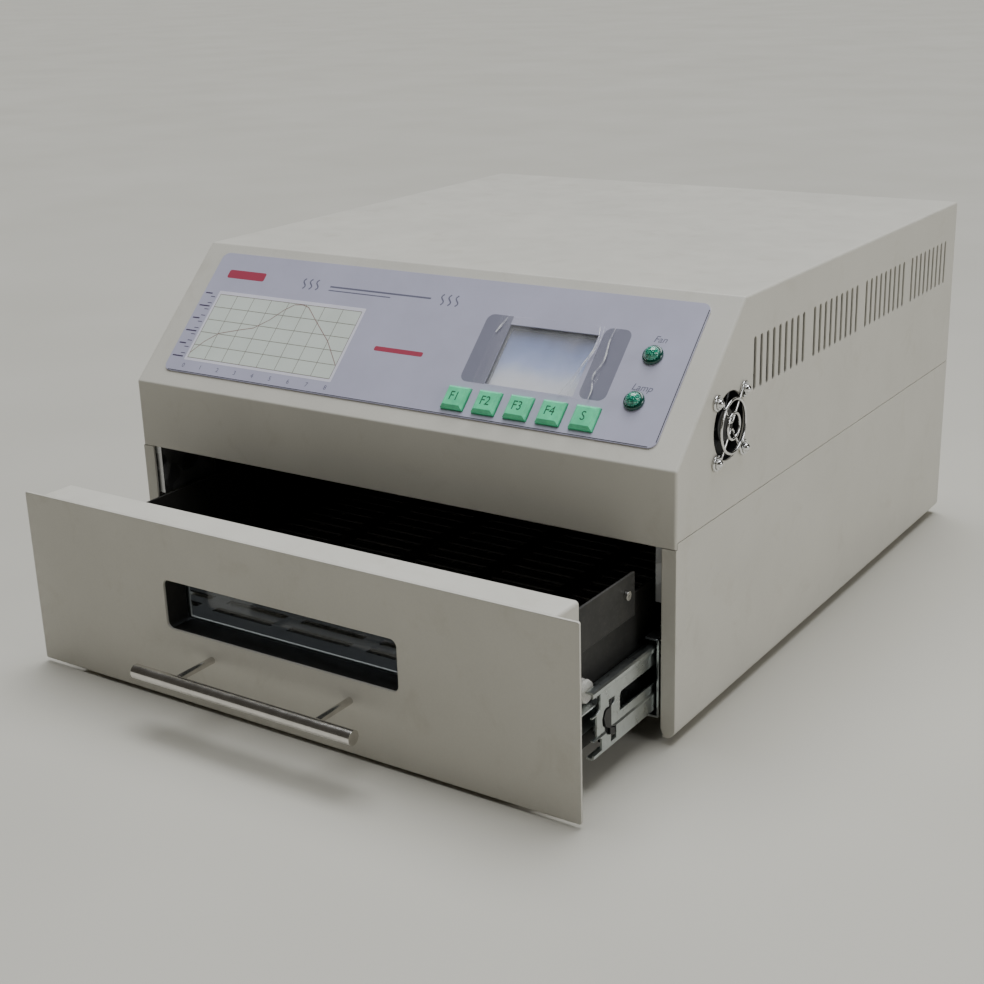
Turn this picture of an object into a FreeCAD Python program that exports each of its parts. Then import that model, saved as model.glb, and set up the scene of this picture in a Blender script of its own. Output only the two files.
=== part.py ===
import FreeCAD, Part
import math
import os
import re

import Sketcher
from FreeCAD import Placement, Rotation, Vector

# A bench-top infrared reflow oven: a sheet-steel casing with a sloping control panel, and a
# drawer on telescopic slides.  +X is to the right, +Y to the back, +Z up, all in millimetres.
# The frame's origin is the bottom centre of the whole object's box, on the plane that the feet
# rest on, with the drawer part open as stored.

doc = FreeCAD.newDocument("reflow_oven")
sheet = doc.addObject("Spreadsheet::Sheet", "Dim")

CELLS = [
    # casing
    ("width", 372, "casing width"),
    ("depth", 410, "casing depth, fascia to rear edge"),
    ("foot_tall", 4, "height of the feet, and of the base's underside"),
    ("seam_z", 113, "joint between the base and the cover"),
    ("fascia_z", 110, "lower edge of the fascia"),
    ("slant_z", 151, "lower edge of the sloping panel"),
    ("top_z", 224, "top of the casing"),
    ("slant_run", 76, "depth of the sloping panel, seen from above"),
    ("skin", 1.2, "casing sheet thickness"),
    ("bend", 1.6, "outer bend radius of the cover"),
    ("base_bend", 5, "outer bend radius of the base"),
    ("post_wide", 8.2, "front return flange of the base"),
    ("mouth_deep", 26, "how far the base's floor stands back between the posts"),
    ("gap", 0.4, "gap between pieces that only lie side by side"),
    ("lip", 12, "depth of the return lip under the fascia"),
    ("rear_reach", 2.5, "how far the exhaust guard and inlet stand behind the casing"),
    # side vents
    ("vent_tall", 29, "height of a vent slot"),
    ("vent_wide", 3.2, "width of a vent slot"),
    ("vent_pitch", 8, "from one vent slot to the next"),
    ("vent_group", 79.5, "from one group of slots to the next"),
    ("vent_y", 88, "first vent slot behind the fascia"),
    ("vent_z", 186, "middle height of the vent slots"),
    # side fan
    ("fan_side", 40, "side fan frame, square"),
    ("fan_thick", 10, "side fan frame thickness"),
    ("fan_y", 58.5, "side fan centre behind the fascia"),
    ("fan_z", 159.6, "side fan centre height"),
    ("fan_hole", 18.5, "radius of the side fan's opening"),
    ("fan_pitch", 32, "side fan screw spacing"),
    # exhaust fan
    ("exhaust_side", 60, "exhaust fan frame, square"),
    ("exhaust_thick", 25, "exhaust fan frame thickness"),
    ("exhaust_z", 130, "exhaust fan centre height"),
    ("exhaust_hole", 27, "radius of the exhaust fan's opening"),
    ("exhaust_pitch", 50, "exhaust fan screw spacing"),
    # sloping panel, measured along the slope
    ("label_wide", 339.5, "control label width"),
    ("label_low", 10.4, "control label's lower edge above the slope's lower edge"),
    ("label_tall", 87.8, "control label height along the slope"),
    ("label_thick", 0.8, "control label thickness"),
    ("screen_x", 84.8, "screen centre"),
    ("screen_t", 54.6, "screen centre up the slope"),
    ("screen_wide", 87.6, "screen opening width"),
    ("screen_tall", 44.4, "screen opening height"),
    ("key_side", 14, "key cap, square"),
    ("key_pitch", 20.2, "from one key to the next"),
    ("key_t", 21, "key centres up the slope"),
    ("key_reach", 3, "key cap above the label at rest"),
    ("lamp_x", 148.4, "lamp centres"),
    ("lamp_t", 35.4, "lower lamp up the slope"),
    ("lamp_pitch", 28, "from the lower lamp to the upper"),
    ("lamp_dia", 11.6, "lamp lens diameter"),
    # drawer
    ("drawer_open", 95, "how far the drawer's front face stands before the fascia, as stored"),
    ("front_thick", 1.5, "drawer front plate thickness"),
    ("front_low", 2.5, "lower edge of the drawer front plate"),
    ("front_high", 107.3, "upper edge of the drawer front plate"),
    ("box_deep", 20, "depth of the box behind the front plate"),
    ("box_half", 173, "half width of that box above the slides"),
    ("box_foot", 158, "half width of that box beside the slides"),
    ("box_step", 62, "height where the box narrows for the slides"),
    ("pane_wide", 160.4, "window width"),
    ("pane_low", 45.2, "window's lower edge"),
    ("pane_high", 74.4, "window's upper edge"),
    ("bar_dia", 8, "handle bar diameter"),
    ("bar_long", 150, "handle bar length"),
    ("bar_z", 33, "handle bar height"),
    ("handle_pitch", 96, "handle post spacing"),
    ("handle_reach", 31, "handle bar centre before the front plate"),
    ("post_dia", 4, "handle post diameter"),
    ("tray_z", 44, "upper face of the slotted tray"),
    ("tray_half", 161.4, "half width of the tray"),
    ("tray_long", 308, "depth of the tray"),
    ("tray_rim", 83, "upper edge of the tray's side walls"),
    ("slot_long", 44, "length of a tray slot"),
    ("slot_wide", 5.4, "width of a tray slot"),
    ("slot_step_x", 55.6, "from one column of tray slots to the next"),
    ("slot_step_y", 11.5, "from one row of tray slots to the next"),
    # telescopic slides
    ("slide_z", 36, "middle height of the slides"),
    ("slide_x", 176, "outer face of the slides"),
    ("slide_deep", 12.7, "thickness of a slide"),
    ("slide_tall", 45, "height of the outer member"),
    ("slide_sheet", 1.1, "slide sheet thickness"),
    ("mid_tall", 37, "height of the middle member"),
    ("mid_front", 62, "front end of the middle member before the fascia, as stored"),
    ("mid_long", 300, "length of the middle member"),
    ("mid_step", 0.9, "how far the middle member's web stands in from its rails"),
    ("ball_dia", 2.2, "slide ball diameter"),
    ("roll_y", 38.3, "insulation rolls behind the front plate"),
    ("roll_z", 51.4, "height of the insulation rolls"),
    ("roll_dia", 12.4, "insulation roll diameter"),
    # front brackets, mains inlet and switch
    ("bracket_x", 173.4, "inner face of the front brackets"),
    ("bracket_low", 79, "lower edge of the front brackets"),
    ("bracket_long", 44, "rear edge of the front brackets"),
    ("inlet_x", -130, "mains inlet centre"),
    ("inlet_z", 50, "mains inlet and switch centre height"),
    ("switch_x", -85, "power switch centre"),
    # oven chamber
    ("liner_half", 172.8, "half width of the chamber liner"),
    ("liner_front", 46, "front edge of the chamber liner"),
    ("liner_rear", 337, "rear face of the chamber liner"),
    ("liner_low", 60.5, "lower edge of the liner's side walls"),
    ("roof_z", 150, "underside of the reflector"),
    ("tube_z", 138, "heater tube centres"),
    ("tube_dia", 10, "heater tube diameter"),
    ("tube_step", 55, "from one heater tube to the next"),
    ("tube_first", 80, "first heater tube behind the fascia"),
]
for row, (alias, number, note) in enumerate(CELLS, start=1):
    sheet.set(f"A{row}", note)
    sheet.set(f"B{row}", str(number))
    sheet.setAlias(f"B{row}", alias)
doc.recompute()
ALIASES = {alias for alias, _, _ in CELLS}

# Lengths worked out from the cells, as expressions.
HALF = "width / 2"
IN_HALF = "(width / 2 - skin)"
SLOPE = "atan((top_z - slant_z) / slant_run)"
SLOPE_LONG = "sqrt((top_z - slant_z)^2 + slant_run^2)"
FASCIA_Y = "((drawer_open + handle_reach + bar_dia / 2 - depth - rear_reach) / 2)"
DRAWER_Y = f"({FASCIA_Y} - drawer_open)"
MIDDLE_Y = f"({FASCIA_Y} - mid_front)"
SCREW_HEAD = 2.6
SCREW_RADIUS = 1.45
TUBES = 5
KEYS = ["key_f1", "key_f2", "key_f3", "key_f4", "key_s"]
SIDES = {"left": -1, "right": 1}

NODES = []


def cell(text):
    """An expression with every alias written as the sheet's own."""
    return re.sub(r"[a-z][a-z_]*", lambda m: f"Dim.{m[0]}" if m[0] in ALIASES else m[0], str(text))


def value(text):
    """What an expression comes to now."""
    result = sheet.evalExpression(cell(text))
    return float(getattr(result, "Value", result))


def bind(thing, **sizes):
    for name, text in sizes.items():
        thing.setExpression(name, cell(text))


def place(thing, x=0, y=0, z=0, rotation=None):
    thing.Placement = Placement(Vector(value(x), value(y), value(z)), rotation or Rotation())
    for axis, text in zip("xyz", (x, y, z)):
        if isinstance(text, str):
            thing.setExpression(f"Placement.Base.{axis}", cell(text))
    return thing


def node(thing, label, home="casing"):
    """Names a finished sub-part, and puts it where its assembly stands.

    Pieces of the casing are measured from the fascia's front plane, pieces of the drawer from the
    front plate's front face, the slides' middle members from their front ends, and pieces of the
    sloping panel up the slope and out from it."""
    thing.Label = label
    if home == "panel":
        place(thing, 0, FASCIA_Y, "slant_z", Rotation(Vector(1, 0, 0), value(SLOPE)))
        thing.setExpression("Placement.Rotation.Angle", cell(SLOPE))
    else:
        place(thing, 0, {"casing": FASCIA_Y, "drawer": DRAWER_Y, "middle": MIDDLE_Y}[home], 0)
    NODES.append(thing)
    return thing


# ---------------------------------------------------------------- primitives

def box(x, y, z, size_x, size_y, size_z):
    solid = doc.addObject("Part::Box", "block")
    bind(solid, Length=size_x, Width=size_y, Height=size_z)
    return place(solid, x, y, z)


def span(x0, x1, y0, y1, z0, z1):
    """A block from one corner to the opposite one."""
    return box(x0, y0, z0, f"({x1}) - ({x0})", f"({y1}) - ({y0})", f"({z1}) - ({z0})")


TOWARDS = {
    "x": Rotation(Vector(0, 1, 0), 90),
    "y": Rotation(Vector(1, 0, 0), -90),
    "z": Rotation(),
}


def rod(x, y, z, radius, length, axis="z"):
    solid = doc.addObject("Part::Cylinder", "rod")
    bind(solid, Radius=radius, Height=length)
    return place(solid, x, y, z, TOWARDS[axis])


def ring(x, y, z, radius, wire, axis="z"):
    solid = doc.addObject("Part::Torus", "ring")
    bind(solid, Radius1=radius, Radius2=wire)
    return place(solid, x, y, z, TOWARDS[axis])


def ball(x, y, z, radius):
    solid = doc.addObject("Part::Sphere", "ball")
    bind(solid, Radius=radius)
    return place(solid, x, y, z)


def fuse(*solids):
    whole = doc.addObject("Part::MultiFuse", "fuse")
    whole.Shapes = list(solids)
    return whole


def cut(base, *tools):
    whole = doc.addObject("Part::Cut", "cut")
    whole.Base = base
    whole.Tool = tools[0] if len(tools) == 1 else fuse(*tools)
    return whole


def group(*solids):
    """Separate solids that share one node."""
    whole = doc.addObject("Part::Compound", "group")
    whole.Links = list(solids)
    return whole


def screw(x, y, z, axis, sign, length, radius=SCREW_RADIUS, head=SCREW_HEAD):
    """A pan-head screw whose head stands on the point and whose shank runs against sign."""
    thick, recess = 0.75 * head, head / 2
    i = "xyz".index(axis)
    seat = (x, y, z)[i]

    def moved(at_seat):
        spot = [x, y, z]
        spot[i] = at_seat
        return spot

    cap = rod(*moved(seat if sign > 0 else f"{seat} - {thick}"), head, thick, axis)
    shank = rod(*moved(f"{seat} - {length}" if sign > 0 else seat), radius, length, axis)
    drive_low = f"{seat} + {thick - recess / 2}" if sign > 0 else f"{seat} - {thick + recess / 2}"
    corner = [f"{c} - {recess / 2}" for c in moved(seat)]
    corner[i] = drive_low
    return cut(fuse(cap, shank), box(*corner, recess, recess, recess))


def dome_nut(x, y, z, lift):
    """A domed nut on a round flange, on a wall that faces +X."""
    dome = doc.addObject("Part::Sphere", "dome")
    bind(dome, Radius=2.3)
    dome.Angle1 = 0
    place(dome, f"{x} + {lift - 0.3}", y, z, TOWARDS["x"])
    return fuse(rod(x, y, z, 3.1, lift, "x"), dome)


# ---------------------------------------------------------------- sketched bodies

def body(name):
    return doc.addObject("PartDesign::Body", name)


def origin(owner, role):
    return next(f for f in owner.Origin.OriginFeatures if f.Role == role)


def sketch(owner, plane, lift=0):
    """A sketch on one of the body's own planes, lift along that plane's normal."""
    drawing = owner.newObject("Sketcher::SketchObject", "sketch")
    drawing.AttachmentSupport = (origin(owner, f"{plane}_Plane"), [""])
    drawing.MapMode = "FlatFace"
    if lift != 0:
        drawing.setExpression("AttachmentOffset.Base.z", cell(lift))
    return drawing


def pin_down(drawing, curve, point, x, y):
    for kind, text in (("DistanceX", x), ("DistanceY", y)):
        k = drawing.addConstraint(Sketcher.Constraint(kind, -1, 1, curve, point, value(text)))
        drawing.setExpression(f"Constraints[{k}]", cell(text))


def outline(drawing, corners):
    """A closed outline through the corners, each held by its two distances."""
    first = drawing.GeometryCount
    spots = [Vector(value(x), value(y), 0) for x, y in corners]
    total = len(spots)
    for i, spot in enumerate(spots):
        drawing.addGeometry(Part.LineSegment(spot, spots[(i + 1) % total]))
    for i in range(total):
        drawing.addConstraint(Sketcher.Constraint("Coincident", first + i, 2, first + (i + 1) % total, 1))
    for i, (x, y) in enumerate(corners):
        pin_down(drawing, first + i, 1, x, y)


def oblong(drawing, x, y, wide, tall):
    """A rectangle about a centre."""
    left, right = f"{x} - ({wide}) / 2", f"{x} + ({wide}) / 2"
    low, high = f"{y} - ({tall}) / 2", f"{y} + ({tall}) / 2"
    outline(drawing, [(left, low), (right, low), (right, high), (left, high)])


def circle(drawing, x, y, radius):
    k = drawing.addGeometry(Part.Circle(Vector(value(x), value(y), 0), Vector(0, 0, 1), value(radius)))
    pin_down(drawing, k, 3, x, y)
    c = drawing.addConstraint(Sketcher.Constraint("Radius", k, value(radius)))
    drawing.setExpression(f"Constraints[{c}]", cell(radius))


def slot(drawing, x, y, long, wide):
    """An upright slot with round ends about a centre."""
    reach, radius = f"(({long}) - ({wide})) / 2", f"({wide}) / 2"
    high, low = f"{y} + {reach}", f"{y} - {reach}"
    axis, r = Vector(0, 0, 1), value(radius)
    side = Vector(r, 0, 0)
    top = Vector(value(x), value(high), 0)
    foot = Vector(value(x), value(low), 0)
    first = drawing.GeometryCount
    drawing.addGeometry(Part.ArcOfCircle(Part.Circle(top, axis, r), 0, math.pi))
    drawing.addGeometry(Part.LineSegment(top - side, foot - side))
    drawing.addGeometry(Part.ArcOfCircle(Part.Circle(foot, axis, r), math.pi, 2 * math.pi))
    drawing.addGeometry(Part.LineSegment(foot + side, top + side))
    for i in range(4):
        drawing.addConstraint(Sketcher.Constraint("Tangent", first + i, 2, first + (i + 1) % 4, 1))
    pin_down(drawing, first, 3, x, high)
    pin_down(drawing, first + 2, 3, x, low)
    c = drawing.addConstraint(Sketcher.Constraint("Radius", first, r))
    drawing.setExpression(f"Constraints[{c}]", cell(radius))


def pad(owner, drawing, length, both=False, back=False):
    feature = owner.newObject("PartDesign::Pad", "pad")
    feature.Profile = drawing
    feature.Midplane = both
    feature.Reversed = back
    bind(feature, Length=length)
    doc.recompute()
    return feature


def pocket(owner, drawing, length, both=False, back=False):
    """Cuts the sketch into the body, and makes sure that something went."""
    before = owner.Shape.Volume
    feature = owner.newObject("PartDesign::Pocket", "pocket")
    feature.Profile = drawing
    feature.Midplane = both
    feature.Reversed = back
    bind(feature, Length=length)
    doc.recompute()
    if not owner.Shape.Volume < before - 1e-3:
        raise RuntimeError(f"a pocket of {owner.Name} cuts nothing")
    return feature


def repeat(owner, feature, *runs):
    """Repeats a feature along the body's own axes: each run is an axis, a step and a count."""
    before = owner.Shape.Volume
    rows = owner.newObject("PartDesign::MultiTransform", "rows")
    rows.Originals = [feature]
    steps = []
    for axis, step, count in runs:
        line = owner.newObject("PartDesign::LinearPattern", "row")
        line.Direction = (origin(owner, f"{axis}_Axis"), [""])
        line.Mode = "Extent"
        line.Occurrences = count
        bind(line, Length=f"({step}) * {count - 1}")
        steps.append(line)
    rows.Transformations = steps
    owner.Tip = rows
    doc.recompute()
    if abs(owner.Shape.Volume - before) < 1e-3:
        raise RuntimeError(f"a pattern of {owner.Name} changes nothing")
    return rows


def edges_where(owner, test):
    return [f"Edge{i}" for i, edge in enumerate(owner.Shape.Edges, start=1) if test(edge)]


def round_off(owner, radius, test, kind="Fillet"):
    """Rounds or chamfers the edges of the body that pass the test."""
    names = edges_where(owner, test)
    if not names:
        raise RuntimeError(f"{owner.Name} has no such edge")
    before, last = owner.Shape.Volume, owner.Tip
    feature = owner.newObject(f"PartDesign::{kind}", kind.lower())
    feature.Base = (last, names)
    bind(feature, **{"Radius" if kind == "Fillet" else "Size": radius})
    doc.recompute()
    if abs(owner.Shape.Volume - before) < 1e-4:
        raise RuntimeError(f"rounding {owner.Name} changes nothing")
    return feature


def runs_along(edge, axis, length=None):
    """Is this a straight edge along an axis, and of this length where one is given?"""
    if edge.Curve.TypeId != "Part::GeomLine":
        return False
    along = abs(getattr(edge.Curve.Direction, axis)) > 0.999
    return along and (length is None or abs(edge.Length - length) < 0.01)


def at(edge, **spots):
    """Does the edge's middle have these coordinates?"""
    middle = edge.BoundBox.Center
    return all(abs(getattr(middle, axis) - place_) < 0.05 for axis, place_ in spots.items())


# ---------------------------------------------------------------- casing

REAR_FACE = "(depth - 1)"
REAR_IN = "(depth - 1 - skin)"
REAR_SCREWS = [(x, z) for z in ("9.5", "top_z - 6") for x in ("-140", "0", "140")]
DRAWER_SCREWS = ("62", "180", "306")
FOOT_SPOTS = [(x, y) for y in ("40", "depth - 40") for x in ("-150", "150")]


def slope_sketch(owner, lift=0):
    """A sketch on the sloping panel: x across, y up the slope from its lower edge."""
    drawing = owner.newObject("Sketcher::SketchObject", "sketch")
    drawing.AttachmentSupport = (origin(owner, "XY_Plane"), [""])
    drawing.MapMode = "FlatFace"
    drawing.AttachmentOffset = Placement(Vector(0, 0, 0), Rotation(Vector(1, 0, 0), value(SLOPE)))
    drawing.setExpression("AttachmentOffset.Base.z", cell(f"slant_z + ({lift})"))
    drawing.setExpression("AttachmentOffset.Rotation.Angle", cell(SLOPE))
    return drawing


def key_spots():
    return [(f"screen_x + key_pitch * {i - 2}", "key_t") for i in range(len(KEYS))]


def lamp_spots():
    return [("lamp_x", "lamp_t"), ("lamp_x", "lamp_t + lamp_pitch")]


def panel_holes(drawing, key_room, lamp_radius):
    oblong(drawing, "screen_x", "screen_t", "screen_wide", "screen_tall")
    for x, t in key_spots():
        oblong(drawing, x, t, f"key_side + {key_room}", f"key_side + {key_room}")
    for x, t in lamp_spots():
        circle(drawing, x, t, lamp_radius)


def base_shell():
    """The lower tray of the casing: floor, sides, front posts and an inner lip for the cover."""
    shell = body("base_shell")
    blank = sketch(shell, "XZ")
    outline(blank, [(f"-{HALF}", "foot_tall"), (HALF, "foot_tall"), (HALF, "seam_z"), (f"-{HALF}", "seam_z")])
    pad(shell, blank, "depth", back=True)
    hollow = sketch(shell, "XZ")
    outline(hollow, [(f"-{IN_HALF}", "foot_tall + skin"), (IN_HALF, "foot_tall + skin"),
                     (IN_HALF, "seam_z + 5"), (f"-{IN_HALF}", "seam_z + 5")])
    pocket(shell, hollow, "depth * 3", both=True)
    round_off(shell, "base_bend - skin", lambda e: runs_along(e, "y") and at(e, z=value("foot_tall + skin")))
    round_off(shell, "base_bend", lambda e: runs_along(e, "y") and at(e, z=value("foot_tall")))
    posts = sketch(shell, "XZ")
    ends = sketch(shell, "XZ", "-(depth - 1 - 2 * skin)")
    lips = sketch(shell, "XZ", "-(skin + 6)")
    for sign in ("", "-"):
        outline(posts, [(f"{sign}({HALF})", "foot_tall + base_bend"), (f"{sign}({HALF})", "fascia_z - gap"),
                        (f"{sign}({HALF} - post_wide)", "fascia_z - gap"),
                        (f"{sign}({HALF} - post_wide)", "foot_tall + base_bend"),
                        (f"{sign}({HALF} - post_wide + 1)", "foot_tall + 2"),
                        (f"{sign}({HALF} - base_bend)", "foot_tall"),
                        (f"{sign}({HALF} - 1.6)", "foot_tall + 1.6")])
        outline(lips, [(f"{sign}({IN_HALF} + 0.1)", "seam_z - 9"), (f"{sign}({IN_HALF} + 0.1)", "seam_z"),
                       (f"{sign}({IN_HALF} - gap)", "seam_z"), (f"{sign}({IN_HALF} - gap)", "seam_z + 9"),
                       (f"{sign}({IN_HALF} - gap - skin)", "seam_z + 9"),
                       (f"{sign}({IN_HALF} - gap - skin)", "seam_z - 9")])
    outline(ends, [("-160", "foot_tall + skin / 2"), ("160", "foot_tall + skin / 2"),
                   ("160", "foot_tall + 10"), ("-160", "foot_tall + 10")])
    pad(shell, posts, "skin", back=True)
    pad(shell, lips, "depth - 20", back=True)
    pad(shell, ends, "skin", back=True)
    notch = sketch(shell, "YZ")
    outline(notch, [("-1", "fascia_z - gap"), ("skin + gap", "fascia_z - gap"),
                    ("skin + gap", "seam_z + 20"), ("-1", "seam_z + 20")])
    pocket(shell, notch, "width * 2", both=True)
    mouth = sketch(shell, "XY", "foot_tall + skin / 2")
    edge = f"({HALF} - base_bend - 2)"
    outline(mouth, [(f"-{edge}", "-5"), (edge, "-5"), (edge, "mouth_deep"), (f"-{edge}", "mouth_deep")])
    pocket(shell, mouth, "skin * 2", both=True)
    holes = sketch(shell, "XY", "foot_tall + skin / 2")
    for x, y in FOOT_SPOTS:
        circle(holes, x, y, SCREW_RADIUS + 0.15)
    pocket(shell, holes, "skin * 4", both=True)
    rear = sketch(shell, "XZ", "-depth")
    for x, z in REAR_SCREWS[:3]:
        circle(rear, x, z, SCREW_RADIUS + 0.15)
    pocket(shell, rear, "skin * 8", both=True)
    vent = sketch(shell, "XY", "foot_tall + skin / 2")
    oblong(vent, "-110", "depth - 55", 60, 4)
    row = pocket(shell, vent, "skin * 4", both=True)
    repeat(shell, row, ("X", "110", 3), ("Y", "9", 4))
    return node(shell, "base_shell")


def cover_shell():
    """Fascia, sloping panel, top and sides in one folded sheet."""
    shell = body("cover_shell")
    profile = sketch(shell, "YZ")
    outline(profile, [("0", "fascia_z"), ("0", "slant_z"), ("slant_run", "top_z"), ("depth", "top_z"),
                      ("depth", "seam_z + gap"), ("skin", "seam_z + gap"), ("skin", "fascia_z")])
    pad(shell, profile, "width", both=True)
    half, low, brow = value(HALF), value("seam_z + 5"), value("slant_z")
    ridge, run, back = value("top_z"), value("slant_run"), value("depth")

    def folded(edge):
        if runs_along(edge, "x"):
            return at(edge, y=0, z=brow) or at(edge, y=run, z=ridge)
        middle = edge.BoundBox.Center
        return abs(abs(middle.x) - half) < 0.01 and middle.z > low and not at(edge, y=back)

    round_off(shell, "bend", folded)
    inside = sketch(shell, "YZ")
    outline(inside, [("skin", "fascia_z - 5"), ("skin", f"slant_z - skin * tan(45 deg - {SLOPE} / 2)"),
                     (f"slant_run + skin * tan({SLOPE} / 2)", "top_z - skin"), ("depth + 5", "top_z - skin"),
                     ("depth + 5", "fascia_z - 5")])
    pocket(shell, inside, f"2 * {IN_HALF}", both=True)
    under = sketch(shell, "XY", "fascia_z")
    outline(under, [("-170", "skin / 2"), ("170", "skin / 2"), ("170", "lip"), ("-170", "lip")])
    pad(shell, under, "skin")
    rear = sketch(shell, "XZ", "-(depth - 1 - 2 * skin)")
    outline(rear, [("-160", "top_z - 12"), ("160", "top_z - 12"),
                   ("160", "top_z - skin / 2"), ("-160", "top_z - skin / 2")])
    pad(shell, rear, "skin", back=True)
    screws = sketch(shell, "XZ", "-depth")
    for x, z in REAR_SCREWS[3:]:
        circle(screws, x, z, SCREW_RADIUS + 0.15)
    pocket(shell, screws, "skin * 8", both=True)
    panel = slope_sketch(shell)
    panel_holes(panel, 0.8, 4.4)
    pocket(shell, panel, "skin * 4", both=True)
    wall = sketch(shell, "YZ", HALF)
    circle(wall, "fan_y", "fan_z", "fan_hole")
    for dy in ("-", "+"):
        for dz in ("-", "+"):
            circle(wall, f"fan_y {dy} fan_pitch / 2", f"fan_z {dz} fan_pitch / 2", SCREW_RADIUS + 0.15)
    pocket(shell, wall, "skin * 4", both=True)
    vent = sketch(shell, "YZ")
    slot(vent, "vent_y", "vent_z", "vent_tall", "vent_wide")
    first = pocket(shell, vent, "width * 2", both=True)
    repeat(shell, first, ("Y", "vent_pitch", 9), ("Y", "vent_group", 4))
    return node(shell, "cover_shell")


def rear_panel():
    panel = body("rear_panel")
    blank = sketch(panel, "XZ", f"-{REAR_IN}")
    edge = f"({IN_HALF} - gap - skin - 0.5)"
    outline(blank, [(f"-{edge}", "foot_tall + skin + 0.5"), (edge, "foot_tall + skin + 0.5"),
                    (edge, "top_z - skin - 0.5"), (f"-{edge}", "top_z - skin - 0.5")])
    pad(panel, blank, "skin", back=True)
    round_off(panel, "base_bend", lambda e: runs_along(e, "y"))
    holes = sketch(panel, "XZ", f"-{REAR_IN}")
    circle(holes, "0", "exhaust_z", "exhaust_hole")
    for dx in ("-", ""):
        for dz in ("-", "+"):
            circle(holes, f"{dx}exhaust_pitch / 2", f"exhaust_z {dz} exhaust_pitch / 2", SCREW_RADIUS + 0.15)
    for x, z in REAR_SCREWS:
        circle(holes, x, z, SCREW_RADIUS + 0.15)
    oblong(holes, "inlet_x", "inlet_z", 27.8, 20.8)
    oblong(holes, "switch_x", "inlet_z", 13.4, 19.8)
    pocket(panel, holes, "skin * 6", both=True)
    return node(panel, "rear_panel")


def feet():
    made = []
    for x, y in FOOT_SPOTS:
        foot = doc.addObject("Part::Cone", "foot")
        bind(foot, Radius1=8, Radius2=9.5, Height="foot_tall")
        place(foot, x, y, 0)
        recess = rod(x, y, "-1", 4.5, "3.2")
        made.append(cut(foot, recess, rod(x, y, 0, SCREW_RADIUS + 0.15, "foot_tall * 2")))
    return node(group(*made), "feet")


def case_screws():
    made = [screw(x, y, "2.2", "z", -1, "8") for x, y in FOOT_SPOTS]
    made += [screw(x, REAR_FACE, z, "y", 1, "8") for x, z in REAR_SCREWS]
    return node(group(*made), "case_screws")


def front_brackets():
    """The galvanised angle pieces just inside the posts, above the slides."""
    made = []
    for sign in SIDES.values():
        bracket = body("front_bracket")
        plan = sketch(bracket, "XY", "bracket_low")
        s = "-" if sign < 0 else ""
        outline(plan, [(f"{s}bracket_x", "2"), (f"{s}(bracket_x + 10)", "2"), (f"{s}(bracket_x + 10)", "2 + skin"),
                       (f"{s}(bracket_x + skin)", "2 + skin"), (f"{s}(bracket_x + skin)", "bracket_long"),
                       (f"{s}bracket_x", "bracket_long")])
        pad(bracket, plan, "fascia_z - gap - bracket_low")
        made.append(bracket)
    return node(group(*made), "front_brackets")


# ---------------------------------------------------------------- oven chamber

def chamber_liner():
    """Black liner: two side walls and a rear wall with the exhaust opening."""
    liner = body("chamber_liner")
    plan = sketch(liner, "XY", "liner_low")
    inner = "(liner_half - skin)"
    outline(plan, [("-liner_half", "liner_front"), (f"-{inner}", "liner_front"),
                   (f"-{inner}", "liner_rear - skin"), (inner, "liner_rear - skin"), (inner, "liner_front"),
                   ("liner_half", "liner_front"), ("liner_half", "liner_rear"), ("-liner_half", "liner_rear")])
    pad(liner, plan, "171 - liner_low")
    wall = sketch(liner, "XZ", "-(liner_rear - skin)")
    outline(wall, [("-liner_half", "foot_tall + skin"), ("liner_half", "foot_tall + skin"),
                   ("liner_half", "liner_low + 1"), ("-liner_half", "liner_low + 1")])
    pad(liner, wall, "skin", back=True)
    holes = sketch(liner, "XZ", "-liner_rear")
    circle(holes, "0", "exhaust_z", "exhaust_hole")
    circle(holes, "100", "100", 1.8)
    pocket(liner, holes, "skin * 6", both=True)
    return node(liner, "chamber_liner")


def heater_reflector():
    """Polished tray over the heater tubes, with down-turned sides."""
    reflector = body("heater_reflector")
    section = sketch(reflector, "XZ", "-(liner_front + 1)")
    outline(section, [("-170.8", "125"), ("-169.6", "125"), ("-169.6", "roof_z"), ("169.6", "roof_z"),
                      ("169.6", "125"), ("170.8", "125"), ("170.8", "roof_z + skin"), ("-170.8", "roof_z + skin")])
    pad(reflector, section, "liner_rear - liner_front - 3", back=True)
    edges = value("roof_z + skin")
    round_off(reflector, "1", lambda e: runs_along(e, "y") and at(e, z=edges))
    return node(reflector, "heater_reflector")


def tube_spots():
    return [f"tube_first + tube_step * {i}" for i in range(TUBES)]


def tube_rails():
    """Angle rails that carry the ceramic ends of the heater tubes."""
    made = []
    for sign in ("", "-"):
        rail = body("tube_rail")
        section = sketch(rail, "XZ", "-(tube_first - 18)")
        outline(section, [(f"{sign}158", "tube_z - 10"), (f"{sign}159.5", "tube_z - 10"),
                          (f"{sign}159.5", "roof_z - 1.9"), (f"{sign}167", "roof_z - 1.9"),
                          (f"{sign}167", "roof_z - 0.4"), (f"{sign}158", "roof_z - 0.4")])
        pad(rail, section, f"tube_step * {TUBES - 1} + 36", back=True)
        side = sketch(rail, "YZ", f"{sign}158.75")
        for y in tube_spots():
            circle(side, y, "tube_z", 6.8)
        pocket(rail, side, "6", both=True)
        made.append(rail)
    return node(group(*made), "tube_rails")


def heater_tubes():
    """Five quartz tubes, each with its resistance element along the middle."""
    made = []
    for y in tube_spots():
        made.append(cut(rod("-154", y, "tube_z", "tube_dia / 2", "308", "x"),
                        rod("-160", y, "tube_z", "tube_dia / 2 - 1", "320", "x")))
        made.append(rod("-155", y, "tube_z", 1.6, "310", "x"))
    return node(group(*made), "heater_tubes")


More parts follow.
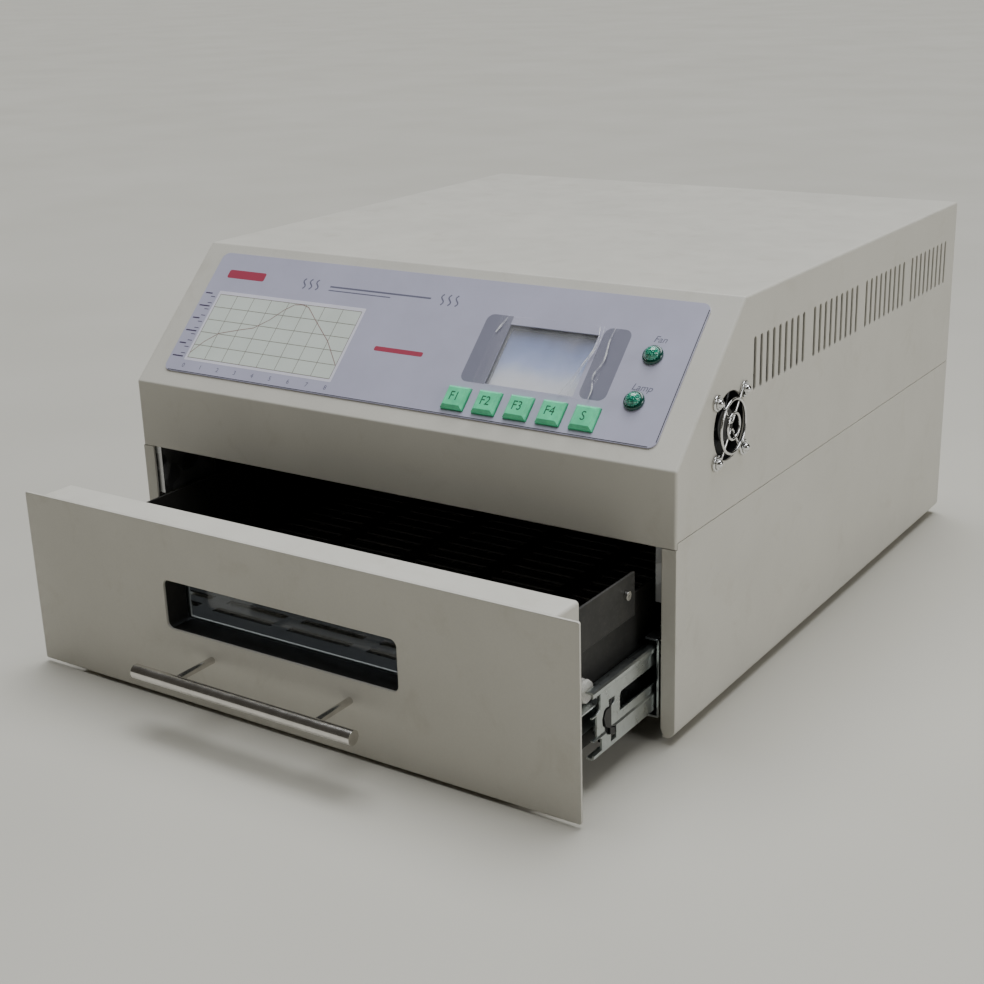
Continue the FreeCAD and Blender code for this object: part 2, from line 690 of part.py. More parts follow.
def tube_caps():
    """Ceramic ends, each with a socket for the tube and a blind hole for the element."""
    made = []
    for y in tube_spots():
        for s in (-1, 1):
            start = "149" if s > 0 else "-166"
            cap = rod(start, y, "tube_z", 6.5, "17", "x")
            socket = rod("148" if s > 0 else "-154.2", y, "tube_z", "tube_dia / 2 + 0.2", "6.2", "x")
            core = rod("150" if s > 0 else "-156", y, "tube_z", 1.9, "6", "x")
            made.append(cut(cap, socket, core))
    return node(group(*made), "tube_caps")


def insulation_blanket():
    blanket = span("-168", "168", "liner_front + 4", "liner_rear - 7", "roof_z + skin + 0.3", "171")
    return node(group(blanket), "insulation_blanket")


def thermocouple():
    """Sheathed temperature probe through the rear of the liner."""
    sheath = rod("100", "282", "100", 1.5, "58", "y")
    tip = ball("100", "282", "100", 1.5)
    hub = rod("100", "liner_rear", "100", 4, "9", "y")
    return node(fuse(sheath, tip, hub), "thermocouple")


# ---------------------------------------------------------------- sloping panel

def control_label():
    label = body("control_label")
    blank = sketch(label, "XY")
    oblong(blank, "0", "label_low + label_tall / 2", "label_wide", "label_tall")
    pad(label, blank, "label_thick")
    round_off(label, "5", lambda e: runs_along(e, "z"))
    holes = sketch(label, "XY")
    oblong(holes, "screen_x", "52.2", 56, 38.8)
    for x, t in key_spots():
        oblong(holes, x, t, "key_side + 0.8", "key_side + 0.8")
    for x, t in lamp_spots():
        circle(holes, x, t, 4.5)
    pocket(label, holes, "label_thick * 4", both=True)
    return node(label, "control_label", "panel")


def display_lens():
    """Clear plate that fills the opening in the sheet behind the label."""
    lens = body("display_lens")
    blank = sketch(lens, "XY", "-1.2")
    oblong(blank, "screen_x", "screen_t", "screen_wide - 0.8", "screen_tall - 0.8")
    pad(lens, blank, "1")
    round_off(lens, "0.4", lambda e: runs_along(e, "z"))
    return node(lens, "display_lens", "panel")


def display_film():
    """Thin protective film over the lens, inside the label's window."""
    film = span("screen_x - 27.6", "screen_x + 27.6", "33.2", "71.2", "0.1", "0.4")
    return node(group(film), "display_film", "panel")


def lcd_module():
    """Metal-framed liquid crystal module on its circuit board."""
    board = span("44.8", "124.8", "31", "79", "-9", "-7.4")
    frame = cut(span("49.8", "119.8", "32.5", "76.5", "-7.4", "-1.9"),
                span("57.3", "112.3", "34", "70.5", "-3.4", "-1"))
    pins = [rod(f"{52 + 5.08 * i}", "77.8", "-13.9", 0.5, "9", "z") for i in range(12)]
    return node(fuse(board, frame, *pins), "lcd_module", "panel")


def key(index):
    """Key cap with a wide foot that keeps it behind the sheet."""
    x, t = key_spots()[index]
    cap = body("key_cap")
    foot = sketch(cap, "XY", "-3.4")
    oblong(foot, x, t, 16.6, 16.6)
    pad(cap, foot, "1.8")
    face = sketch(cap, "XY", "-2")
    oblong(face, x, t, "key_side", "key_side")
    pad(cap, face, "2 + label_thick + key_reach")
    top = value("label_thick + key_reach")
    round_off(cap, "1.6", lambda e: abs(e.BoundBox.Center.z - top) < 0.01, kind="Chamfer")
    return node(cap, KEYS[index], "panel")


def indicator_lamps():
    made = []
    for x, t in lamp_spots():
        stem = rod(x, t, "-6", 4.2, "7")
        rim = rod(x, t, "label_thick", "lamp_dia / 2", "1.4")
        dome = doc.addObject("Part::Sphere", "dome")
        bind(dome, Radius=4.9)
        dome.Angle1 = 0
        place(dome, x, t, "label_thick + 1.2")
        made.append(fuse(stem, rim, dome))
    return node(group(*made), "indicator_lamps", "panel")


def control_board():
    """Circuit board under the panel, with a switch below each key and a lamp seat."""
    board = span("30", "156", "5", "92", "-15.6", "-14")
    parts = [board]
    for x, t in key_spots():
        parts.append(span(f"{x} - 3", f"{x} + 3", f"{t} - 3", f"{t} + 3", "-14", "-7"))
        parts.append(rod(x, t, "-8", 1.7, "3.4"))
    for x, t in lamp_spots():
        parts.append(rod(x, t, "-14", 3, "7.6"))
    for x in ("33", "153"):
        for t in ("8", "88"):
            parts.append(rod(x, t, "-14.2", 2.5, "13.0"))
    parts.append(span("60", "110", "36", "46", "-18.6", "-15.6"))
    return node(fuse(*parts), "control_board", "panel")


# ---------------------------------------------------------------- fans

def standing(thing, x, y, z, axis):
    """Takes a piece that was built along z at the origin to its own spot and axis."""
    return place(thing, x, y, z, TOWARDS[axis])


def fan_frame(side, thick, bore, pitch, struts_at):
    """Square fan frame along z: bore, four screw holes, and a motor seat on three struts."""
    frame = span(f"-{side} / 2", f"{side} / 2", f"-{side} / 2", f"{side} / 2", "0", thick)
    holes = [rod("0", "0", "-1", bore, f"{thick} + 2")]
    for dx in ("-", ""):
        for dy in ("-", ""):
            holes.append(rod(f"{dx}{pitch} / 2", f"{dy}{pitch} / 2", "-1", SCREW_RADIUS + 0.1, f"{thick} + 2"))
    open_frame = cut(frame, *holes)
    struts = [rod("0", "0", struts_at, 9, 1.4)]
    for turn in (30, 150, 270):
        strut = box(0, -1, 0, bore + 0.5, 2, 1.4)
        strut.Placement = Placement(Vector(0, 0, value(struts_at)), Rotation(Vector(0, 0, 1), turn))
        struts.append(strut)
    return fuse(open_frame, *struts)


def fan_rotor(hub, tip, low, tall, blades):
    """Hub and pitched blades along z."""
    parts = [rod("0", "0", low, hub, tall)]
    for k in range(blades):
        blade = box(0, 0, 0, tip - hub + 1, 1, 0.8 * tall / math.cos(math.radians(38)))
        turn = Placement(Vector(0, 0, 0), Rotation(Vector(0, 0, 1), 360 * k / blades))
        lean = Placement(Vector(hub - 1, -0.35 * tall, low + 0.1 * tall), Rotation(Vector(1, 0, 0), -38))
        blade.Placement = turn.multiply(lean)
        parts.append(blade)
    return fuse(*parts)


def fan_guard(pitch, radii, wire, lift):
    """Chromed wire guard along z: rings, two crossed wires and an eye round each screw."""
    parts = [ring("0", "0", lift, r, wire) for r in radii]
    reach = value(pitch) / math.sqrt(2)
    for turn in (45, -45, 135, -135):
        cross = Rotation(Vector(0, 0, 1), turn)
        eye = ring(0, 0, 0, 3.6, wire)
        eye.Placement = Placement(cross.multVec(Vector(reach, 0, wire + 0.05)), Rotation())
        bar = rod(0, 0, 0, wire, radii[-1] + 0.5)
        bar.Placement = Placement(Vector(0, 0, lift), cross.multiply(TOWARDS["x"]))
        run, drop = reach - 3.4 - radii[-1], lift - wire
        leg = rod(0, 0, 0, wire, math.hypot(run, drop) + 0.4)
        down = Rotation(Vector(0, 1, 0), math.degrees(math.atan2(drop, run)))
        start = cross.multVec(Vector(radii[-1], 0, lift))
        leg.Placement = Placement(start, cross.multiply(down).multiply(TOWARDS["x"]))
        parts += [eye, bar, leg]
    return fuse(*parts)


def side_fan():
    inside = f"({IN_HALF} - 0.3 - fan_thick)"
    frame = fan_frame("fan_side", "fan_thick", 18.8, "fan_pitch", "0")
    node(group(standing(frame, inside, "fan_y", "fan_z", "x")), "side_fan_frame")
    rotor = fan_rotor(9, 17.8, 2.2, 7, 7)
    node(group(standing(rotor, inside, "fan_y", "fan_z", "x")), "side_fan_rotor")
    guard = fan_guard("fan_pitch", (7, 14.5), 0.8, 2.4)
    node(group(standing(guard, HALF, "fan_y", "fan_z", "x")), "side_fan_guard")


def exhaust_fan():
    inside = f"({REAR_IN} - exhaust_thick)"
    frame = fan_frame("exhaust_side", "exhaust_thick", 28.4, "exhaust_pitch", "0")
    node(group(standing(frame, "0", inside, "exhaust_z", "y")), "exhaust_fan_frame")
    rotor = fan_rotor(14, 26.4, 2.4, 19, 7)
    node(group(standing(rotor, "0", inside, "exhaust_z", "y")), "exhaust_fan_rotor")
    guard = fan_guard("exhaust_pitch", (8, 16, 24), 0.9, 2.6)
    node(group(standing(guard, "0", REAR_FACE, "exhaust_z", "y")), "exhaust_fan_guard")


def fan_screws():
    made = []
    for dy in ("-", "+"):
        for dz in ("-", "+"):
            spot = (f"{HALF} + 1.7", f"fan_y {dy} fan_pitch / 2", f"fan_z {dz} fan_pitch / 2")
            shank = rod(f"{HALF} - 11", *spot[1:], SCREW_RADIUS - 0.1, "13", "x")
            made.append(fuse(dome_nut(*spot, 0.8), shank))
    for dx in ("-", ""):
        for dz in ("-", "+"):
            made.append(screw(f"{dx}exhaust_pitch / 2", f"{REAR_FACE} + 0.3",
                              f"exhaust_z {dz} exhaust_pitch / 2", "y", 1, "20", SCREW_RADIUS - 0.1))
    return node(group(*made), "fan_screws")


# ---------------------------------------------------------------- mains side

def mains_inlet():
    """Appliance inlet: a flanged shell, open to the rear, and its three recessed blades."""
    parts = [
        span("inlet_x - 15.5", "inlet_x + 15.5", REAR_FACE, f"{REAR_FACE} + 2.4", "inlet_z - 12", "inlet_z + 12"),
        span("inlet_x - 13.6", "inlet_x + 13.6", f"{REAR_FACE} - 21", REAR_FACE, "inlet_z - 10.1", "inlet_z + 10.1"),
    ]
    cavity = span("inlet_x - 12", "inlet_x + 12", f"{REAR_FACE} - 15", f"{REAR_FACE} + 5",
                  "inlet_z - 8.2", "inlet_z + 8.2")
    shell = cut(fuse(*parts), cavity)
    blades = []
    for dx, dz in ((-7, 2), (7, 2), (0, -2)):
        blades.append(span(f"inlet_x + {dx} - 1", f"inlet_x + {dx} + 1", f"{REAR_FACE} - 15", f"{REAR_FACE} - 4",
                           f"inlet_z + {dz} - 2", f"inlet_z + {dz} + 2"))
    return node(group(shell, *blades), "mains_inlet")


PIVOT_Y = f"({REAR_FACE} - 1)"
ROCKER = [(0.4, -7.5), (1.6, 0), (3.0, 7.3), (-1.4, 7.3), (-5, 2.5), (-5, -2.5), (-2.6, -7)]


def power_switch():
    outer = [
        span("switch_x - 7.6", "switch_x + 7.6", REAR_FACE, f"{REAR_FACE} + 1.4", "inlet_z - 10.6", "inlet_z + 10.6"),
        span("switch_x - 6.5", "switch_x + 6.5", f"{REAR_FACE} - 16", REAR_FACE, "inlet_z - 9.7", "inlet_z + 9.7"),
    ]
    room = span("switch_x - 5.3", "switch_x + 5.3", f"{REAR_FACE} - 9", f"{REAR_FACE} + 5",
                "inlet_z - 8.6", "inlet_z + 8.6")
    bearing = rod("switch_x - 6", PIVOT_Y, "inlet_z", 1.6, "12", "x")
    node(group(cut(fuse(*outer), room, bearing)), "switch_frame")
    rocker = body("switch_rocker")
    side = sketch(rocker, "YZ", "switch_x - 4.9")
    outline(side, [(f"{PIVOT_Y} + ({dy})", f"inlet_z + ({dz})") for dy, dz in ROCKER])
    pad(rocker, side, "9.8")
    pins = sketch(rocker, "YZ", "switch_x")
    circle(pins, PIVOT_Y, "inlet_z", "1.3")
    pad(rocker, pins, "11.4", both=True)
    return node(rocker, "switch_rocker")


def power_board():
    """Upright mains board behind the liner, on four spacers."""
    front = "(liner_rear + 13)"
    parts = [span("30", "150", front, f"{front} + 1.6", "20", "100")]
    for x in ("36", "144"):
        for z in ("26", "94"):
            parts.append(rod(x, "liner_rear", z, 2.5, "13.2", "y"))
    parts.append(span("40", "78", f"{front} + 1.5", f"{front} + 27", "34", "66"))
    parts.append(span("112", "140", f"{front} + 1.5", f"{front} + 14", "60", "88"))
    for x in ("92", "106", "122"):
        parts.append(rod(x, f"{front} + 1.5", "44", 5.5, "18", "y"))
    parts.append(span("36", "100", f"{front} + 1.5", f"{front} + 12", "78", "88"))
    return node(fuse(*parts), "power_board")


# ---------------------------------------------------------------- telescopic slides

def mirrored(side, corners):
    """The corners of a section, on the side of the casing that is asked for."""
    return [(f"-({x})" if side < 0 else x, z) for x, z in corners]


def channel(name, side, web, lip, tall, start, long):
    """One slide member: an upright web and two flanges.  web and lip are distances from the middle."""
    member = body(name)
    section = sketch(member, "XZ", f"-({start})")
    towards = "-" if value(lip) < value(web) else "+"
    inner = f"{web} {towards} slide_sheet"
    high, low = f"slide_z + ({tall}) / 2", f"slide_z - ({tall}) / 2"
    outline(section, mirrored(side, [
        (web, low), (web, high), (lip, high), (lip, f"{high} - slide_sheet"), (inner, f"{high} - slide_sheet"),
        (inner, f"{low} + slide_sheet"), (lip, f"{low} + slide_sheet"), (lip, low)]))
    pad(member, section, long, back=True)
    corner = value(web)
    round_off(member, "slide_sheet",
              lambda e: runs_along(e, "y") and abs(abs(e.BoundBox.Center.x) - corner) < 0.01)
    return member


# The middle member's upper rail: in from the outer face, and down from the top.
RAIL = [(4.6, 0.45), (3.7, 0.1), (2.6, 0), (0.9, 0), (0, 0.9), (0, 3)]
RAIL_INNER = [(1.1, 2.7), (1.1, 1.4), (1.4, 1.1), (2.6, 1.1), (3.6, 1.12), (4.3, 1.4)]
# The opening for the lever near its front end: back from the end, and up from the slide's middle.
LEVER = [(16.8, 7.9), (22.3, 7.6), (22.3, 4.9), (18.6, 3.2), (18.6, -7.6), (22.3, -8.6), (22.3, -15.2),
         (16.8, -15.2), (16.8, -11.2), (12.8, -9.6), (12, -5.6), (10, -3.3), (9.8, -0.2), (11.6, 3.6),
         (13.6, 4.6), (16.8, 4.2)]


def middle_member(side):
    """Rolled rails above and below a web that steps in between them."""
    member = body("slide_middle")
    section = sketch(member, "XZ", "0")
    face = "slide_x - 2.1"
    top, foot = "slide_z + mid_tall / 2", "slide_z - mid_tall / 2"
    crease = "slide_z - 8"
    outside = [(f"{face} - {dx}", f"{top} - {dz}") for dx, dz in RAIL]
    outside += [(f"{face} - mid_step", f"{top} - 4"), (f"{face} - mid_step", f"{crease} + 0.5"),
                (face, f"{crease} - 0.5")]
    outside += [(f"{face} - {dx}", f"{foot} + {dz}") for dx, dz in reversed(RAIL[:-1])]
    inside = [(f"{face} - {dx}", f"{foot} + {dz}") for dx, dz in reversed(RAIL_INNER[1:])]
    inside += [(f"{face} - 1.1", f"{crease} - 1"), (f"{face} - mid_step - 1.1", crease),
               (f"{face} - mid_step - 1.1", f"{top} - 3.7")]
    inside += [(f"{face} - {dx}", f"{top} - {dz}") for dx, dz in RAIL_INNER]
    outline(section, mirrored(side, outside + inside))
    pad(member, section, "mid_long", back=True)
    cuts = sketch(member, "YZ", f"-({face})" if side < 0 else face)
    outline(cuts, [(f"{y}", f"slide_z + ({z})") for y, z in LEVER])
    outline(cuts, [("27.5", "slide_z - 2.9"), ("72", "slide_z - 2.9"), ("72", "slide_z + 7.5"),
                   ("29", "slide_z + 7.5"), ("27.5", "slide_z + 5.6")])
    oblong(cuts, "170", "slide_z + 2.3", 60, 10.4)
    outline(cuts, [("-1", "slide_z + 4.7"), ("4.8", "slide_z + 4.7"), ("8.4", "slide_z + 6.5"),
                   ("8.4", f"{top} - 3.4"), ("-1", f"{top} - 3.4")])
    outline(cuts, [("-1", "slide_z - 8.4"), ("4.8", "slide_z - 8.4"), ("8", "slide_z - 9.6"),
                   ("8", f"{foot} + 2.6"), ("-1", f"{foot} + 2.6")])
    outline(cuts, [("-1", "slide_z + 4"), ("4.8", "slide_z + 4"), ("4.8", "slide_z - 7.8"),
                   ("-1", "slide_z - 7.8")])
    pocket(member, cuts, "slide_sheet * 6", both=True)
    return member


def slide_clip(side):
    """Plastic retainer: a plate behind the middle member's web, and a lever in its opening."""
    clip = body("slide_clip")
    seat = "slide_x - 2.1 - mid_step - 1.1"
    plate = sketch(clip, "YZ", f"-({seat})" if side < 0 else f"{seat} - 0.9")
    outline(plate, [("8.6", "slide_z - 12.6"), ("24", "slide_z - 12.6"), ("24", "slide_z + 12.6"),
                    ("8.6", "slide_z + 12.6")])
    pad(clip, plate, "0.9")
    lever = sketch(clip, "YZ", f"-({seat} + 1.5)" if side < 0 else f"{seat} - 0.1")
    outline(lever, [("17.1", "slide_z - 12.6"), ("21.9", "slide_z - 12.6"), ("21.9", "slide_z - 9.3"),
                    ("18.2", "slide_z - 8.2"), ("18.2", "slide_z + 7.4"), ("17.2", "slide_z + 7.4"),
                    ("17.2", "slide_z + 3.6"), ("13", "slide_z + 3.6"), ("11", "slide_z"),
                    ("12.6", "slide_z - 5.4"), ("17.1", "slide_z - 8")])
    pad(clip, lever, "1.6")
    return clip


def inner_member(side):
    """The member that the drawer's side plate is screwed to; low at its front end."""
    web = "slide_x - slide_deep"
    member = channel("slide_inner", side, web, "slide_x - 5.2", "mid_tall - 8", "22", "mid_long")
    ends = sketch(member, "YZ", f"-({web})" if side < 0 else web)
    for near, far in (("slide_z + 8.8", "slide_z + 30"), ("slide_z - 30", "slide_z - 8.8")):
        outline(ends, [("20", near), ("50", near), ("50", far), ("20", far)])
    for y in DRAWER_SCREWS:
        circle(ends, y, "slide_z", SCREW_RADIUS + 0.1)
    pocket(member, ends, "slide_deep * 3", both=True)
    tab = sketch(member, "XZ", "-22")
    outline(tab, mirrored(side, [
        ("slide_x - slide_deep + 0.1", "slide_z + 8.8"), ("slide_x - 5.2", "slide_z + 8.8"),
        ("slide_x - 5.2", "slide_z + 7.7"), ("slide_x - slide_deep + 0.1", "slide_z + 7.7")]))
    pad(member, tab, "24", back=True)
    return member


def slide(name, side):
    outer = channel("slide_outer", side, "slide_x", "slide_x - 8", "slide_tall", "1", "333")
    node(outer, f"slide_outer_{name}")
    node(middle_member(side), f"slide_middle_{name}", "middle")
    node(slide_clip(side), f"slide_clip_{name}", "middle")
    node(inner_member(side), f"slide_inner_{name}", "drawer")
    outer_cage = cage(side, "slide_tall", ("slide_x - 1.8", "slide_x - 4.6", "slide_x - 7.4"), 80)
    node(outer_cage, f"cage_outer_{name}")
    inner_cage = cage(side, "mid_tall", ("slide_x - 3.9", "slide_x - 5.5", "slide_x - 7.4"), 20)
    node(inner_cage, f"cage_inner_{name}")


def cage(side, tall, across, start):
    """Ball retainer between two slide members: a thin strip above and below, and its balls.

    across holds the strip's outer edge, the balls' centres and the strip's inner edge."""
    wide, seat, narrow = across
    s = "-" if side < 0 else ""
    low, high = (f"-({wide})", f"-({narrow})") if side < 0 else (narrow, wide)
    parts = []
    for sign in ("+", "-"):
        race = f"slide_z {sign} ({tall} / 2 - slide_sheet - 1.45)"
        strip = span(low, high, f"{start}", f"{start + 80}", f"{race} - 0.25", f"{race} + 0.25")
        spots = [f"{start + 6 + 9.7 * i}" for i in range(8)]
        bores = [rod(f"{s}({seat})", y, f"{race} - 2", "ball_dia / 2 + 0.05", "4") for y in spots]
        parts.append(cut(strip, *bores))
        parts += [ball(f"{s}({seat})", y, race, "ball_dia / 2") for y in spots]
    return group(*parts)


def slide_mounts():
    made = []
    for s in (-1, 1):
        for y in ("24", "300"):
            low, high = ("slide_x", IN_HALF) if s > 0 else (f"-{IN_HALF}", "-slide_x")
            made.append(span(low, high, y, f"{y} + 20", "slide_z - 14", "slide_z + 14"))
    return node(group(*made), "slide_mounts")


# ---------------------------------------------------------------- drawer

HANDLE_Z = "bar_z"
BRACKET_SCREW = ("74", "90")
REACH = "(1.5 + box_deep)"


def beside_pane(edge):
    """True for the front-to-back edges at the window's left and right."""
    return runs_along(edge, "y") and abs(abs(edge.BoundBox.Center.x) - value("pane_wide / 2")) < 0.01


def front_plate():
    plate = body("front_plate")
    blank = sketch(plate, "XZ")
    oblong(blank, "0", "(front_low + front_high) / 2", "width - 0.2", "front_high - front_low")
    pad(plate, blank, "front_thick", back=True)
    round_off(plate, "1", lambda e: runs_along(e, "y"))
    holes = sketch(plate, "XZ")
    oblong(holes, "0", "(pane_low + pane_high) / 2", "pane_wide", "pane_high - pane_low")
    pocket(plate, holes, "front_thick * 4", both=True)
    round_off(plate, "4", beside_pane)
    bores = sketch(plate, "XZ")
    for s in ("", "-"):
        circle(bores, f"{s}handle_pitch / 2", HANDLE_Z, 1.6)
    pocket(plate, bores, "front_thick * 4", both=True)
    return node(plate, "front_plate", "drawer")


def box_outline(drawing, inset):
    high, step, low = f"front_high - {inset}", f"box_step + {inset}", f"front_low + 3.5 + {inset}"
    wide, narrow = f"box_half - {inset}", f"box_foot - {inset}"
    outline(drawing, [(f"-({narrow})", low), (narrow, low), (narrow, step), (wide, step), (wide, high),
                      (f"-({wide})", high), (f"-({wide})", step), (f"-({narrow})", step)])


def front_box():
    """Hollow sheet box behind the front plate, narrower below to pass the slides."""
    hollow = body("front_box")
    blank = sketch(hollow, "XZ", "-front_thick")
    box_outline(blank, "0")
    pad(hollow, blank, "box_deep", back=True)
    wide, high = value("box_half"), value("front_high")
    round_off(hollow, "2", lambda e: runs_along(e, "y") and abs(abs(e.BoundBox.Center.x) - wide) < 0.01
              and at(e, z=high))
    inside = sketch(hollow, "XZ", "-front_thick")
    box_outline(inside, "skin")
    pocket(hollow, inside, "box_deep - skin")
    window = sketch(hollow, "XZ", f"-{REACH}")
    oblong(window, "0", "(pane_low + pane_high) / 2", "pane_wide", "pane_high - pane_low")
    pocket(hollow, window, "skin * 3", both=True)
    return node(hollow, "front_box", "drawer")


def window_frame():
    """Dark tunnel from the front plate's opening back to the glass."""
    frame = body("window_frame")
    outer = sketch(frame, "XZ", "-front_thick")
    middle, wide, tall = "(pane_low + pane_high) / 2", "pane_wide", "(pane_high - pane_low)"
    oblong(outer, "0", middle, f"{wide} + 2.4", f"{tall} + 2.4")
    pad(frame, outer, "14.8", back=True)
    flange = sketch(frame, "XZ", "-(front_thick + 13.6)")
    oblong(flange, "0", middle, f"{wide} + 12", f"{tall} + 12")
    pad(frame, flange, "skin", back=True)
    room = sketch(frame, "XZ", "-(front_thick + 7)")
    oblong(room, "0", middle, wide, tall)
    pocket(frame, room, "60", both=True)
    round_off(frame, "4", beside_pane)
    return node(frame, "window_frame", "drawer")


def window_glass():
    pane = span("-(pane_wide / 2 + 5)", "pane_wide / 2 + 5", "16.6", "19.8", "pane_low - 5", "pane_high + 5")
    return node(group(pane), "window_glass", "drawer")


def handle():
    bar = rod("-bar_long / 2", "-handle_reach", HANDLE_Z, "bar_dia / 2", "bar_long", "x")
    sockets, posts, bolts = [], [], []
    for s in ("-", ""):
        x = f"{s}handle_pitch / 2"
        sockets.append(rod(x, "-handle_reach", HANDLE_Z, "post_dia / 2 + 0.02", "bar_dia", "y"))
        post = rod(x, "-handle_reach", HANDLE_Z, "post_dia / 2", "handle_reach", "y")
        posts.append(cut(post, rod(x, "-12", HANDLE_Z, 1.3, "14", "y")))
        bolts.append(x)
    node(group(cut(bar, *sockets)), "handle_bar", "drawer")
    node(group(*posts), "handle_posts", "drawer")
    return bolts


def slotted_tray():
    """Black tray floor with rows of slots, low side flanges and a rear wall."""
    tray = body("slotted_tray")
    under = "(tray_z - skin)"
    front, rear = "22", "(22 + tray_long)"
    section = sketch(tray, "XZ", f"-{front}")
    wide = "tray_half"
    outline(section, [(f"-{wide}", under), (wide, under), (wide, "tray_z + 12"), (f"{wide} - skin", "tray_z + 12"),
                      (f"{wide} - skin", "tray_z"), (f"-({wide} - skin)", "tray_z"),
                      (f"-({wide} - skin)", "tray_z + 12"), (f"-{wide}", "tray_z + 12")])
    pad(tray, section, "tray_long", back=True)
    wall = sketch(tray, "XZ", f"-({rear} - skin)")
    outline(wall, [(f"-{wide}", under), (wide, under), (wide, "tray_rim"), (f"-{wide}", "tray_rim")])
    pad(tray, wall, "skin", back=True)
    corners = sketch(tray, "YZ")
    circle(corners, "roll_y", "roll_z", "roll_dia / 2 + 0.6")
    pocket(tray, corners, "tray_half * 4", both=True)
    hole = sketch(tray, "XY", under)
    oblong(hole, "-2 * slot_step_x", "36.5", "slot_long", "slot_wide")
    first = pocket(tray, hole, "skin * 4", both=True)
    repeat(tray, first, ("X", "slot_step_x", 5), ("Y", "slot_step_y", 25))
    return node(tray, "slotted_tray", "drawer")


def drawer_sides():
    """Upright side plates between the tray and the slides."""
    for name, s in SIDES.items():
        plate = body("drawer_side")
        face = sketch(plate, "YZ", "tray_half + 0.4" if s > 0 else "-(tray_half + 0.4 + skin)")
        outline(face, [("22", "slide_z - 18"), ("334", "slide_z - 18"), ("334", "tray_rim"), ("22", "tray_rim")])
        pad(plate, face, "skin")
        round_off(plate, "3", lambda e: runs_along(e, "x") and e.BoundBox.Center.y > 300)
        holes = sketch(plate, "YZ", "tray_half" if s > 0 else "-tray_half")
        for y in DRAWER_SCREWS:
            circle(holes, y, "slide_z", SCREW_RADIUS + 0.1)
        circle(holes, "roll_y", "roll_z", "roll_dia / 2 + 0.6")
        pocket(plate, holes, "skin * 8", both=True)
        node(plate, f"drawer_side_{name}", "drawer")


def side_bracket():
    """Black plate that ties the front box to the right-hand side plate."""
    plate = span("167.8", "169", REACH, "83", "tray_z + 32", "99.6")
    foot = span("163.4", "168", REACH, f"{REACH} + skin", "tray_z + 32", "99.6")
    hole = rod("160", *BRACKET_SCREW, SCREW_RADIUS + 0.1, "20", "x")
    return node(cut(fuse(plate, foot), hole), "side_bracket", "drawer")


def insulation_rolls():
    """White ribbed fibre rolls through the front corners of the tray."""
    made = []
    for s in (-1, 1):
        start = "150" if s > 0 else "-167.4"
        core = rod(start, "roll_y", "roll_z", "roll_dia / 2 - 0.5", "17.4", "x")
        spots = [f"{s * (152 + 2.75 * i)}" for i in range(6)]
        ribs = [ring(x, "roll_y", "roll_z", "roll_dia / 2 - 1.4", 1.4, "x") for x in spots]
        made.append(fuse(core, *ribs))
    return node(group(*made), "insulation_rolls", "drawer")


def drawer_screws(bolts):
    made = [screw(x, "front_thick + 0.1", HANDLE_Z, "y", 1, "10", 1.2, 2.6) for x in bolts]
    for s in (-1, 1):
        at_x = "tray_half - 0.1" if s > 0 else "-(tray_half - 0.1)"
        for y in DRAWER_SCREWS:
            made.append(screw(at_x, y, "slide_z", "x", -s, "3.2", SCREW_RADIUS, 2.4))
    made.append(screw("169.1", *BRACKET_SCREW, "x", 1, "1.6", SCREW_RADIUS, 2.4))
    return node(group(*made), "drawer_screws", "drawer")


for build in (base_shell, cover_shell, rear_panel, feet, case_screws, front_brackets, chamber_liner,
              heater_reflector, tube_rails, heater_tubes, tube_caps, insulation_blanket, thermocouple,
              control_label, display_lens, display_film, lcd_module, indicator_lamps, control_board,
              side_fan, exhaust_fan, fan_screws, mains_inlet, power_switch, power_board, slide_mounts,
              front_plate, front_box, window_frame, window_glass, slotted_tray, drawer_sides,
              side_bracket, insulation_rolls):
    build()
for number in range(len(KEYS)):
    key(number)
for hand, way in SIDES.items():
    slide(hand, way)
drawer_screws(handle())
doc.recompute()

bad = [thing.Label for thing in doc.Objects if {"Invalid", "Error"} & set(thing.State)]
if bad:
    raise RuntimeError(f"these did not recompute: {bad}")
for piece in NODES:
    if piece.Shape.isNull() or not piece.Shape.isValid() or not piece.Shape.Solids:
        raise RuntimeError(f"{piece.Label} has no valid shape")

os.makedirs("parts", exist_ok=True)
for piece in NODES:
    piece.Shape.exportStep(f"parts/{piece.Label}.step")
print(len(NODES), "sub-parts written")
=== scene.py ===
import math

import bmesh
import bpy
from mathutils import Matrix, Vector


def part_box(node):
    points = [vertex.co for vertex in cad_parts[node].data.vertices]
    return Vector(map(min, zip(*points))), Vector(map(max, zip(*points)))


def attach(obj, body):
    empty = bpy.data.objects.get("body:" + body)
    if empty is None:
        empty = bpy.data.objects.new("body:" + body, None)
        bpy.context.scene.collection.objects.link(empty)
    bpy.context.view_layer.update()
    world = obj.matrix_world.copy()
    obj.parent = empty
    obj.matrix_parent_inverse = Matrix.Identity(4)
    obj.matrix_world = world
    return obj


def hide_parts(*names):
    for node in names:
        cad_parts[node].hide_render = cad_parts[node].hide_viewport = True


# Looks for a bench-top reflow oven with a drawer.  Everything is in metres, in the frame of the
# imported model: +X to the right, +Y to the back, +Z up, with the bench at zero height.

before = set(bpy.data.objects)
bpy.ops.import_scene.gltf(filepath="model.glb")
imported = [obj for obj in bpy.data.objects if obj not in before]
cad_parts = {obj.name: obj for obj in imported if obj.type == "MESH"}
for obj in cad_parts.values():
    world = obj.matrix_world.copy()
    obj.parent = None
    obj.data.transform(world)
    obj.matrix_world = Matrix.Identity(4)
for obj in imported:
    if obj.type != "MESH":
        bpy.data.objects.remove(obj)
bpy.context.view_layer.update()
MM = 0.001


# ---------------------------------------------------------------- places

def low(node):
    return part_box(node)[0]


